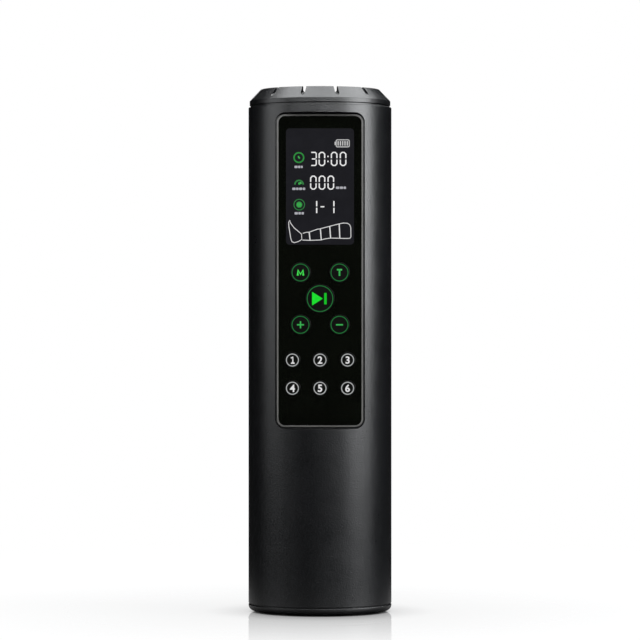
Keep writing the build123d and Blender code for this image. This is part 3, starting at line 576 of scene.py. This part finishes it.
class PUMP_OT_finish_panel(PumpOperator, bpy.types.Operator):
    """Gloss black on the window and key caps, dark grey on the thin frame"""

    bl_idname = "pump.finish_panel"
    bl_label = "Key Panel"

    def execute(self, context):
        look = context.scene.pump_case
        dress(polished("window_gloss", look.window_colour, look.window_roughness), "front_lens")
        dress(moulded("key_satin", look.window_colour, look.key_roughness, look.grain_size / 2,
                      depth=0.000001, gloss=0.12),
              *CONTROL_KEYS, *CHAMBER_KEYS)
        dress(moulded("bezel_grey", look.bezel_colour, look.bezel_roughness, look.grain_size / 2,
                      look.grain_depth / 3),
              "panel_bezel")
        return {"FINISHED"}


class PUMP_OT_finish_inner_parts(PumpOperator, bpy.types.Operator):
    """Finishes of the pump, valves, cells, boards, seals and screws inside the case"""

    bl_idname = "pump.finish_inner_parts"
    bl_label = "Inner Parts"

    def execute(self, context):
        dress(moulded("frame_plastic", (0.035, 0.035, 0.038), roughness=0.5, grain=0.0006, depth=0.00003),
              "inner_frame", "display_holder", "lower_battery_holder", "upper_battery_holder",
              "key_switches", "buzzer", "valve_plate", "pressure_sensor")
        dress(moulded("valve_plastic", (0.66, 0.65, 0.61), roughness=0.42, grain=0.0008, depth=0.00002),
              "hose_spreader", "pump_crankcase", "wobble_plate", "pump_head", "valve_manifold")
        dress(rubbery("seal_rubber", (0.014, 0.014, 0.014), roughness=0.6, grain=0.0004),
              "socket_seals", "base_seal", "motor_sleeve")
        dress(rubbery("silicone", (0.70, 0.70, 0.66), roughness=0.32, grain=0.0008, inner=0.25),
              "supply_tube", "air_tubes", "diaphragm")
        dress(metal("drawn_steel", (0.52, 0.52, 0.53), roughness=0.32, grain=0.0003, stretch=(1, 1, 14)),
              "pump_motor", "motor_rotor", "solenoid_valves")
        dress(metal("zinc_screws", (0.60, 0.60, 0.58), roughness=0.28, grain=0.0004),
              "base_screws", "spreader_screws", "pump_screws", "board_screws", "charge_screws")
        dress(metal("nickel_plate", (0.68, 0.66, 0.61), roughness=0.2, grain=0.0005, stretch=(6, 1, 1)),
              "charge_port", "battery_strips")
        dress(rubbery("cell_wrap", (0.03, 0.13, 0.36), roughness=0.25, grain=0.002), "battery_cells")
        dress(polished("display_glass", (0.010, 0.010, 0.012), roughness=0.1), "display_module")
        dress(board_finish(), "main_board", "charge_board")
        dress(foam_finish(), "display_gasket", "intake_filter")
        return {"FINISHED"}


# ---------------------------------------------------------------- operators: key legends
def key_face(key):
    """Middle (x, z) of a key's cap, its radius without the flange, and where a mark's back lies on it."""
    low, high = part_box(key)
    radius = (high.x - low.x) / 2 - KEY_FLANGE
    return (low.x + high.x) / 2, (low.z + high.z) / 2, radius, low.y - AIR_GAP


def equal_rings(keys, margin, width, thickness, finish):
    """Rings of like keys: the first is modelled and the others are copies of it."""
    x, z, cap, back = key_face(keys[0])
    first = paint(ring(x, z, cap - margin, width, back, thickness), finish)
    rings = {keys[0]: first}
    for key in keys[1:]:
        other_x, other_z = key_face(key)[:2]
        rings[key] = copy_to(first, other_x - x, other_z - z)
    return rings


def line_work(strokes, x, z):
    """Open lines in millimetres round a point turned into lines in metres."""
    return [([(x + across * MM, z + up * MM) for across, up in points], False) for points in strokes]


def start_mark(key, thickness, triangle_finish, bar_finish):
    """Start and stop mark: a triangle that points right and a bar beside it."""
    x, z, _, back = key_face(key)
    left, right = x - 3.85 * MM, x + 1.2 * MM
    height, corner = 6.4 * MM, 0.35 * MM
    bar_x = x + 2.6 * MM
    bar_width, bar_height, bar_corner = 1.25 * MM, 5.5 * MM, 0.2 * MM
    first_radius = 4.1 * MM  # of the regular triangle, before it is brought to its size
    start_round(x, z, first_radius, back, corners=3)
    bpy.ops.transform.rotate(value=math.radians(-90), orient_axis="Y", center_override=(x, back, z))
    bpy.ops.mesh.bevel(offset=corner, segments=3, affect="VERTICES")
    triangle = thicken(thickness)
    (first_left, first_right), (low, high) = extent(triangle, 0), extent(triangle, 2)
    grow = ((right - left) / (first_right - first_left), 1, height / (high - low))
    edit_all()
    bpy.ops.transform.resize(value=grow, center_override=(first_left, back, z))
    bpy.ops.transform.translate(value=(left - first_left, 0, 0))
    close_edit()
    bar = plate(bar_x, z, bar_width, bar_height, bar_corner, back, thickness)
    return [paint(triangle, triangle_finish), paint(bar, bar_finish)]


def plus_mark(x, z, reach, stroke, back, thickness):
    """Plus sign: a square with an arm drawn out of each of its sides."""
    heart = Vector((x, back - thickness / 2, z))
    clear_selection()
    bpy.ops.mesh.primitive_cube_add(size=1, location=heart)
    bpy.context.object.scale = (stroke, thickness, stroke)
    sign = apply_place()
    edit_all()
    bpy.ops.mesh.select_all(action="DESELECT")
    bpy.ops.object.mode_set(mode="OBJECT")
    bpy.context.tool_settings.mesh_select_mode = (False, False, True)
    for side in (Vector((1, 0, 0)), Vector((-1, 0, 0)), Vector((0, 0, 1)), Vector((0, 0, -1))):
        for face in sign.data.polygons:
            face.select = (face.center - heart - side * stroke / 2).length < stroke / 10
        bpy.ops.object.mode_set(mode="EDIT")
        bpy.ops.mesh.extrude_region_move(TRANSFORM_OT_translate={"value": side * (reach - stroke) / 2})
        bpy.ops.mesh.select_all(action="DESELECT")
        bpy.ops.object.mode_set(mode="OBJECT")
    bpy.context.tool_settings.mesh_select_mode = (True, False, False)
    edit_all()
    close_edit()
    return sign


def key_mark(key, look):
    """Letter, number or sign of any key but the start key."""
    x, z, _, back = key_face(key)
    thickness = look.print_thickness
    drawn = {
        "mode_key": (MODE_LETTER, look.mode_stroke),
        "timer_key": (TIMER_LETTER, look.timer_stroke),
        "chamber_key_1": (NUMBER_ONE, look.number_stroke),
    }
    if key in drawn:
        strokes, stroke = drawn[key]
        return bead_lines(line_work(strokes, x, z), stroke, back, thickness)
    if key == "plus_key":
        return plus_mark(x, z, look.sign_reach, look.sign_stroke, back, thickness)
    if key == "minus_key":
        return plate(x, z, look.sign_reach, look.sign_stroke, look.sign_corner, back, thickness)
    return letter(key[-1], x, z, look.number_height, look.number_weight, back, thickness)


class PUMP_OT_add_key_legends(PumpOperator, bpy.types.Operator):
    """Ring and mark on each of the eleven key caps"""

    bl_idname = "pump.add_key_legends"
    bl_label = "Key Legends"

    def execute(self, context):
        look = context.scene.pump_legends
        thickness = look.print_thickness
        ring_green, green = lit("ring_glow", look.dim_green), lit("mark_glow", look.green)
        start_green = lit("start_glow", look.bright_green)
        bar_green = lit("bar_glow", tint(look.bright_green, -0.3))
        # the grey rings and the numbers are print, yet they glow like the lit marks: painted light
        ring_grey, number_grey = lit("ring_print_painted_glow", look.ring_grey), lit("number_print_painted_glow", look.number_grey)
        finishes = {
            "mode_key": lit("letter_glow", look.letter_green),
            "timer_key": green, "plus_key": green, "minus_key": green,
            **dict.fromkeys(CHAMBER_KEYS, number_grey),
        }
        small_keys = tuple(key for key in CONTROL_KEYS if key != "play_key")
        rings = {
            **equal_rings(small_keys, look.control_margin, look.control_ring, thickness, ring_green),
            **equal_rings(("play_key",), look.control_margin, look.control_ring, thickness, ring_green),
            **equal_rings(CHAMBER_KEYS, look.chamber_margin, look.chamber_ring, thickness, ring_grey),
        }
        for key in CONTROL_KEYS + CHAMBER_KEYS:
            if key == "play_key":
                marks = start_mark(key, thickness, start_green, bar_green)
            else:
                marks = [paint(key_mark(key, look), finishes[key])]
            settle(join([rings[key]] + marks), key.replace("_key", "") + "_legend", key)
        return {"FINISHED"}


# ---------------------------------------------------------------- operators: screen
def layer(look, number):
    """Place of the back of a layer of the screen, counted outwards from the window."""
    return LENS_FRONT - number * (look.depth + AIR_GAP) - AIR_GAP


def on_screen(x, z):
    """Place in metres of a point given in millimetres from the screen's centre."""
    return SCREEN.x + x * MM, SCREEN.z + z * MM


def placed(lines, closed=False):
    """Lines in millimetres on the screen turned into lines in metres."""
    return [([on_screen(x, z) for x, z in points], closed) for points in lines]


def settle_on_screen(piece, name):
    """Names a finished piece of the screen, which rides on the case."""
    settle(piece, name, "case")


def zero_digit(left, right, low, high, stroke, gap):
    """Lines of a nought: an arch above and one below, with a break between."""
    half, cut = stroke / 2, 0.8
    left, right, low, high = left + half, right - half, low + half, high - half
    centre = (low + high) / 2
    upper = [(left, centre + gap / 2), (left, high - cut), (left + cut, high),
             (right - cut, high), (right, high - cut), (right, centre + gap / 2)]
    return [upper, [(x, 2 * centre - z) for x, z in upper]]


def three_digit(left, right, low, high, stroke, gap):
    """Lines of a three: two hooks and a short middle bar."""
    half, cut = stroke / 2, 0.5
    right, low, high = right - half, low + half, high - half
    centre = (low + high) / 2
    upper = [(left, high), (right - cut, high), (right, high - cut), (right, centre + gap / 2)]
    lower = [(x, 2 * centre - z) for x, z in upper]
    return [upper, lower, [(left + half, centre), (right - half, centre)]]


def one_digit(x, low, high, gap):
    """Lines of a one: two upright bars with a break between."""
    centre = (low + high) / 2
    return [[(x, low), (x, centre - gap / 2)], [(x, centre + gap / 2), (x, high)]]


def colon(x, centre, rise, height):
    """Lines of a colon: a short upright bar below the centre and one above it."""
    return [[(x, centre + side * rise - height / 2), (x, centre + side * rise + height / 2)]
            for side in (-1, 1)]


class PUMP_OT_add_screen_field(PumpOperator, bpy.types.Operator):
    """Dark lit field of the screen, with rounded corners"""

    bl_idname = "pump.add_screen_field"
    bl_label = "Screen Field"

    def execute(self, context):
        look = context.scene.pump_screen
        field = plate(SCREEN.x, SCREEN.z, look.width, look.height, look.corner,
                      layer(look, FIELD_LAYER), look.depth)
        field_glow = lit("screen_field", look.field_colour, cloud_size=0.006)
        settle_on_screen(paint(field, field_glow), "screen_field")
        return {"FINISHED"}


class PUMP_OT_add_readouts(PumpOperator, bpy.types.Operator):
    """Time, pressure and mode digits of the screen"""

    bl_idname = "pump.add_readouts"
    bl_label = "Readouts"

    def execute(self, context):
        look = context.scene.pump_screen
        stroke, gap = look.digit_stroke / MM, look.digit_gap / MM
        time_low, time_high = 9.85, 16.75
        pressure_low, pressure_high = -1.55, 5.3
        mode_low, mode_high, mode_dash = -12.8, -7.0, -9.75
        lines = three_digit(-4.2, -1.5, time_low, time_high, stroke, gap)
        for left, right in ((-0.7, 2.55), (5.2, 8.45), (9.5, 12.75)):
            lines += zero_digit(left, right, time_low, time_high, stroke, gap)
        for left, right in ((-4.8, -1.6), (-0.65, 2.6), (3.6, 6.85)):
            lines += zero_digit(left, right, pressure_low, pressure_high, stroke, gap)
        for x in (-1.6, 6.7):
            lines += one_digit(x, mode_low, mode_high, gap)
        lines.append([(0.25, mode_dash), (2.05, mode_dash)])
        lines += colon(3.85, (time_low + time_high) / 2, rise=1.2, height=0.7)
        digits = bead_lines(placed(lines), look.digit_stroke, layer(look, MARK_LAYER), look.depth)
        settle_on_screen(paint(digits, lit("digit_glow", look.white)), "readout_digits")
        return {"FINISHED"}


class PUMP_OT_add_symbols(PumpOperator, bpy.types.Operator):
    """Green clock, gauge and mode symbols of the screen"""

    bl_idname = "pump.add_symbols"
    bl_label = "Symbols"

    def execute(self, context):
        look = context.scene.pump_screen
        back, depth = layer(look, MARK_LAYER), look.depth
        glow, faint = lit("symbol_glow", look.green), lit("symbol_faint", look.dim_green)
        clock_glow = lit("clock_glow", tint(look.green, -0.35))

        clock = on_screen(-10.2, 13.95)
        clock_radius, clock_line = 2.66 * MM, 0.68 * MM
        hands, hand_line = [(-10.4, 14.7), (-10.3, 14.0), (-9.7, 13.6)], 0.75 * MM

        gauge_x, gauge_z, gauge_radius = -10.1, 0.95, 2.0
        arch = [(gauge_x - gauge_radius * math.cos(math.radians(angle)),
                 gauge_z + gauge_radius * math.sin(math.radians(angle))) for angle in range(0, 181, 15)]
        needle = [(gauge_x - 0.3, gauge_z + 0.3), (gauge_x + 1.1, gauge_z + 0.9)]
        arch_line, needle_line = 0.8 * MM, 1.1 * MM

        mode = on_screen(-10.0, -8.75)
        outer_radius, outer_line = 2.76 * MM, 0.4 * MM
        inner_radius, inner_line = 1.52 * MM, 0.26 * MM
        dot_radius = 1.2 * MM

        symbols = join([
            paint(ring(*clock, clock_radius, clock_line, back, depth), clock_glow),
            paint(bead_lines(placed([hands]), hand_line, back, depth), glow),
            paint(bead_lines(placed([arch]), arch_line, back, depth), faint),
            paint(bead_lines(placed([needle]), needle_line, back, depth), glow),
            paint(ring(*mode, outer_radius, outer_line, back, depth), faint),
            paint(ring(*mode, inner_radius, inner_line, back, depth), faint),
            paint(disc(*mode, dot_radius, back, depth), glow),
        ])
        settle_on_screen(symbols, "screen_symbols")
        return {"FINISHED"}


class PUMP_OT_add_battery_gauge(PumpOperator, bpy.types.Operator):
    """Battery gauge at the top of the screen: a rounded outline with five bars and a small terminal"""

    bl_idname = "pump.add_battery_gauge"
    bl_label = "Battery Gauge"

    def execute(self, context):
        look = context.scene.pump_screen
        back, depth = layer(look, MARK_LAYER), look.depth
        x, z = on_screen(10.95, 20.8)
        width, height, corner, border = 6.7 * MM, 3.8 * MM, 0.8 * MM, 0.42 * MM
        tip_x = x - 3.6 * MM
        tip_width, tip_height, tip_corner = 0.6 * MM, 1.6 * MM, 0.15 * MM
        bars, bar_step = 5, 1.1 * MM
        bar_width, bar_height, bar_corner = 0.6 * MM, 2.15 * MM, 0.12 * MM
        outline = frame_plate(x, z, width, height, corner, border, back, depth)
        terminal = plate(tip_x, z, tip_width, tip_height, tip_corner, back, depth)
        first_bar = plate(x - bar_step * (bars - 1) / 2, z, bar_width, bar_height, bar_corner, back, depth)
        other_bars = [copy_to(first_bar, bar_step * index, 0) for index in range(1, bars)]
        gauge = join([outline, terminal, first_bar] + other_bars)
        settle_on_screen(paint(gauge, lit("gauge_glow", tint(look.white, -0.35))), "battery_gauge")
        return {"FINISHED"}


class PUMP_OT_add_captions(PumpOperator, bpy.types.Operator):
    """Short plain bars where the screen has its small captions"""

    bl_idname = "pump.add_captions"
    bl_label = "Captions"

    def execute(self, context):
        look = context.scene.pump_screen
        back, depth = layer(look, MARK_LAYER), look.depth
        # middle (x, z) of each caption and the widths of its bars, in millimetres on the screen
        captions = (
            (-10.3, 9.45, (1.5, 1.1, 0.9)), (-10.25, -1.1, (1.6, 1.2, 1.5, 1.2)),
            (-10.0, -12.9, (1.6, 1.2, 1.2)), (10.1, -0.6, (1.7, 1.5, 1.2)),
        )
        gap, height, corner = 0.25, 1.15, 0.3
        bars = []
        for x, z, widths in captions:
            left = x - (sum(widths) + gap * (len(widths) - 1)) / 2
            for width in widths:
                place = on_screen(left + width / 2, z)
                bars.append(plate(*place, width * MM, height * MM, corner * MM, back, depth))
                left += width + gap
        settle_on_screen(paint(join(bars), lit("caption_glow", look.grey)), "screen_captions")
        return {"FINISHED"}


class PUMP_OT_add_leg_drawing(PumpOperator, bpy.types.Operator):
    """Line drawing of a leg in six chambers along the foot of the screen"""

    bl_idname = "pump.add_leg_drawing"
    bl_label = "Leg Drawing"

    def execute(self, context):
        look = context.scene.pump_screen
        back, depth = layer(look, MARK_LAYER), look.depth
        # closed outline of the foot, open outline of the calf and the lines across it, in millimetres
        foot = [(-14.6, -16.2), (-14.2, -17.6), (-12.6, -19.8), (-8.9, -22.95), (-8.75, -25.5),
                (-10.4, -26.5), (-12.4, -27.1), (-13.6, -26.5), (-14.1, -24.9), (-15.0, -19.4),
                (-15.1, -17.3)]
        calf = [(-8.3, -22.6), (-6.8, -22.1), (-5.2, -22.0), (-3.6, -21.4), (-1.4, -20.6), (0.1, -20.4),
                (2.2, -19.8), (4.6, -19.2), (6.8, -18.6), (9.2, -18.0), (11.2, -17.6), (13.2, -17.7),
                (14.3, -18.4), (14.85, -19.8), (14.9, -24.3), (14.3, -25.0), (12.0, -25.05), (9.6, -24.95),
                (5.1, -24.85), (2.6, -25.2), (0.5, -25.75), (-4.8, -25.95), (-8.5, -25.8)]
        rungs = [[(-5.2, -22.2), (-4.8, -25.8)], [(0.2, -20.6), (0.6, -25.6)],
                 [(4.7, -19.3), (5.1, -24.7)], [(9.25, -18.1), (9.55, -24.8)]]
        outline = bead_lines(placed([foot], closed=True) + placed([calf]), look.leg_stroke, back, depth)
        chamber_lines = bead_lines(placed(rungs), look.rung_stroke, back, depth)
        drawing = paint(join([outline, chamber_lines]), lit("drawing_glow", tint(look.white, -0.12)))
        settle_on_screen(drawing, "leg_drawing")
        return {"FINISHED"}


# ---------------------------------------------------------------- operators: studio
def aim(thing, target):
    """Turns a lamp or camera towards a point."""
    thing.rotation_euler = (target - thing.location).to_track_quat("-Z", "Y").to_euler()


def soft_lamp(name, place, width, height, watts):
    """Flat lamp of a given size that the camera doesn't see."""
    clear_selection()
    bpy.ops.object.light_add(type="AREA", location=place)
    lamp = bpy.context.object
    lamp.name = lamp.data.name = name
    lamp.data.shape = "RECTANGLE"
    lamp.data.size, lamp.data.size_y = width, height
    lamp.data.energy = watts
    lamp.data.color = bpy.context.scene.pump_studio.lamp_colour
    lamp.visible_camera = False
    return lamp


def upright_lamp(name, azimuth, distance, low, high, width, watts):
    """Upright lamp between two heights; azimuth 0 is in front of the pump and 90 on its right."""
    turn, middle = math.radians(azimuth), (low + high) / 2
    place = (distance * math.sin(turn), -distance * math.cos(turn), middle)
    aim(soft_lamp(name, place, width, high - low, watts), Vector((0, 0, middle)))


def floor_finish(look):
    """White floor: a real shadow in its matt share and a painted shadow in its glow close by the pump, a
    faint reflection there too, plain white further out.
    """
    shadow_reach, shadow_grey, darkest_glow = 0.03, (0.35, 0.35, 0.355), 0.03
    matt_white, matt_in_gloss = (0.86, 0.86, 0.86), (0.01, 0.01, 0.01)
    finish = Finish("studio_floor")
    path = finish.add("ShaderNodeLightPath").outputs
    away = finish.add("ShaderNodeVectorMath", {0: finish.place}, operation="LENGTH").outputs["Value"]
    matt = finish.add("ShaderNodeBsdfDiffuse", {
        "Color": finish.blend(path["Is Glossy Ray"], matt_white, matt_in_gloss)})
    openness = finish.add("ShaderNodeAmbientOcclusion", {"Distance": shadow_reach}, samples=16).outputs["AO"]
    # painted shadow: the glow turns grey and dims where the pump hides the floor, nearly black in the gap
    # under the base
    glow = finish.add("ShaderNodeEmission", {
        "Color": finish.blend(finish.spread(openness, 0, 1, start=0.2, end=0.93), shadow_grey, WHITE),
        "Strength": finish.spread(openness, darkest_glow, 1, start=0.04, end=0.3)})
    seen = finish.calculate("MAXIMUM", path["Is Camera Ray"], path["Is Transmission Ray"])
    gleam = finish.calculate("MULTIPLY", path["Is Glossy Ray"], look.floor_gleam)
    glow_share = finish.calculate(
        "MULTIPLY", finish.calculate("MAXIMUM", seen, gleam),
        finish.spread(away, 0.88, 1.0, start=0.05, end=0.5))
    white = finish.mix_shaders(glow_share, matt, glow)
    mirror = finish.add("ShaderNodeBsdfGlossy", {"Roughness": 0.0})
    grazing = finish.add("ShaderNodeFresnel", {"IOR": 1.45})
    shine = finish.calculate(
        "MULTIPLY", finish.spread(away, look.floor_shine, 0, start=0.04, end=0.22), grazing)
    return finish.show(finish.mix_shaders(shine, white, mirror))


def room(look):
    """World: white backdrop behind the pump, dim all round for the light on the pump."""
    world = bpy.data.worlds.new("studio_room")
    bpy.context.scene.world = world
    world.use_nodes = True
    nodes = Nodes(world.node_tree)
    path = nodes.add("ShaderNodeLightPath").outputs
    direction = nodes.add("ShaderNodeTexCoord").outputs["Generated"]
    backwards = nodes.add("ShaderNodeSeparateXYZ", {0: direction}).outputs["Y"]
    behind = nodes.calculate("GREATER_THAN", backwards, math.cos(look.backdrop_half_angle))
    mirrored = nodes.calculate("MULTIPLY", path["Is Glossy Ray"], behind)
    seen = nodes.calculate("MAXIMUM", path["Is Camera Ray"], path["Is Transmission Ray"])
    seen_or_mirrored = nodes.calculate("MAXIMUM", seen, mirrored)
    shows_white = nodes.calculate("MAXIMUM", path["Is Singular Ray"], seen_or_mirrored)
    dim = nodes.add("ShaderNodeBackground", {"Color": WHITE, "Strength": look.fill})
    white = nodes.add("ShaderNodeBackground", {"Color": WHITE, "Strength": 1.0})
    nodes.add("ShaderNodeOutputWorld", {"Surface": nodes.mix_shaders(shows_white, dim, white)})


class PUMP_OT_build_studio(PumpOperator, bpy.types.Operator):
    """White floor and room, soft lamps and the level camera"""

    bl_idname = "pump.build_studio"
    bl_label = "Studio"

    def execute(self, context):
        look = context.scene.pump_studio
        clear_selection()
        bpy.ops.mesh.primitive_plane_add(size=look.floor_width, location=(0, 0, 0))
        floor = paint(bpy.context.object, floor_finish(look))
        floor.name = "studio_floor"
        room(look)
        upright_lamp("right_lamp", azimuth=67, distance=0.8, low=0.12, high=0.82, width=0.60,
                     watts=look.right_power)
        upright_lamp("right_soft_lamp", azimuth=36, distance=0.8, low=0.16, high=0.84, width=0.34,
                     watts=look.right_power * look.soft_share)
        upright_lamp("left_lamp", azimuth=-77, distance=0.8, low=0.10, high=0.76, width=0.54,
                     watts=look.left_power)
        upright_lamp("left_soft_lamp", azimuth=-46, distance=0.8, low=0.06, high=0.76, width=0.30,
                     watts=look.left_power * look.soft_share)
        upright_lamp("front_lamp", azimuth=15, distance=1.6, low=0.52, high=1.10, width=0.80,
                     watts=look.front_power)
        upright_lamp("upper_lamp", azimuth=-12, distance=0.45, low=0.33, high=0.45, width=0.50,
                     watts=look.upper_power)
        soft_lamp("top_lamp", place=(0.09, 0.33, TALL + 0.85), width=1.2, height=0.95, watts=look.top_power)
        clear_selection()
        bpy.ops.object.camera_add(location=(0, -look.camera_distance, look.camera_height))
        camera = bpy.context.object
        camera.data.lens = look.focal_length
        camera.data.sensor_width = 36
        aim(camera, Vector((0, 0, look.camera_height)))
        context.scene.camera = camera
        context.scene.view_settings.view_transform = "Standard"
        return {"FINISHED"}


OPERATORS = (
    PUMP_OT_finish_case, PUMP_OT_finish_panel, PUMP_OT_finish_inner_parts, PUMP_OT_add_key_legends,
    PUMP_OT_add_screen_field, PUMP_OT_add_readouts, PUMP_OT_add_symbols, PUMP_OT_add_battery_gauge,
    PUMP_OT_add_captions, PUMP_OT_add_leg_drawing, PUMP_OT_build_studio,
)


class PUMP_PT_dressing(bpy.types.Panel):
    """Steps and settings of the pump's dressing"""

    bl_label = "Air Pump"
    bl_idname = "PUMP_PT_dressing"
    bl_space_type = "VIEW_3D"
    bl_region_type = "UI"
    bl_category = "Air Pump"

    def draw(self, context):
        for step in OPERATORS:
            self.layout.operator(step.bl_idname)
        for name in SETTINGS:
            box = self.layout.box()
            settings = getattr(context.scene, name)
            for setting in settings.bl_rna.properties:
                if setting.identifier not in ("name", "rna_type"):
                    box.prop(settings, setting.identifier)


def register():
    """Adds the settings, steps and panel."""
    for group in SETTINGS.values():
        bpy.utils.register_class(group)
    for name, group in SETTINGS.items():
        setattr(bpy.types.Scene, name, bpy.props.PointerProperty(type=group))
    for step in OPERATORS + (PUMP_PT_dressing,):
        bpy.utils.register_class(step)


def unregister():
    """Takes the panel, steps and settings away again."""
    for step in reversed(OPERATORS + (PUMP_PT_dressing,)):
        bpy.utils.unregister_class(step)
    for name, group in SETTINGS.items():
        delattr(bpy.types.Scene, name)
        bpy.utils.unregister_class(group)


def main():
    """Runs every step in order."""
    register()
    for step in OPERATORS:
        family, name = step.bl_idname.split(".")
        getattr(getattr(bpy.ops, family), name)()


if __name__ == "__main__":
    main()
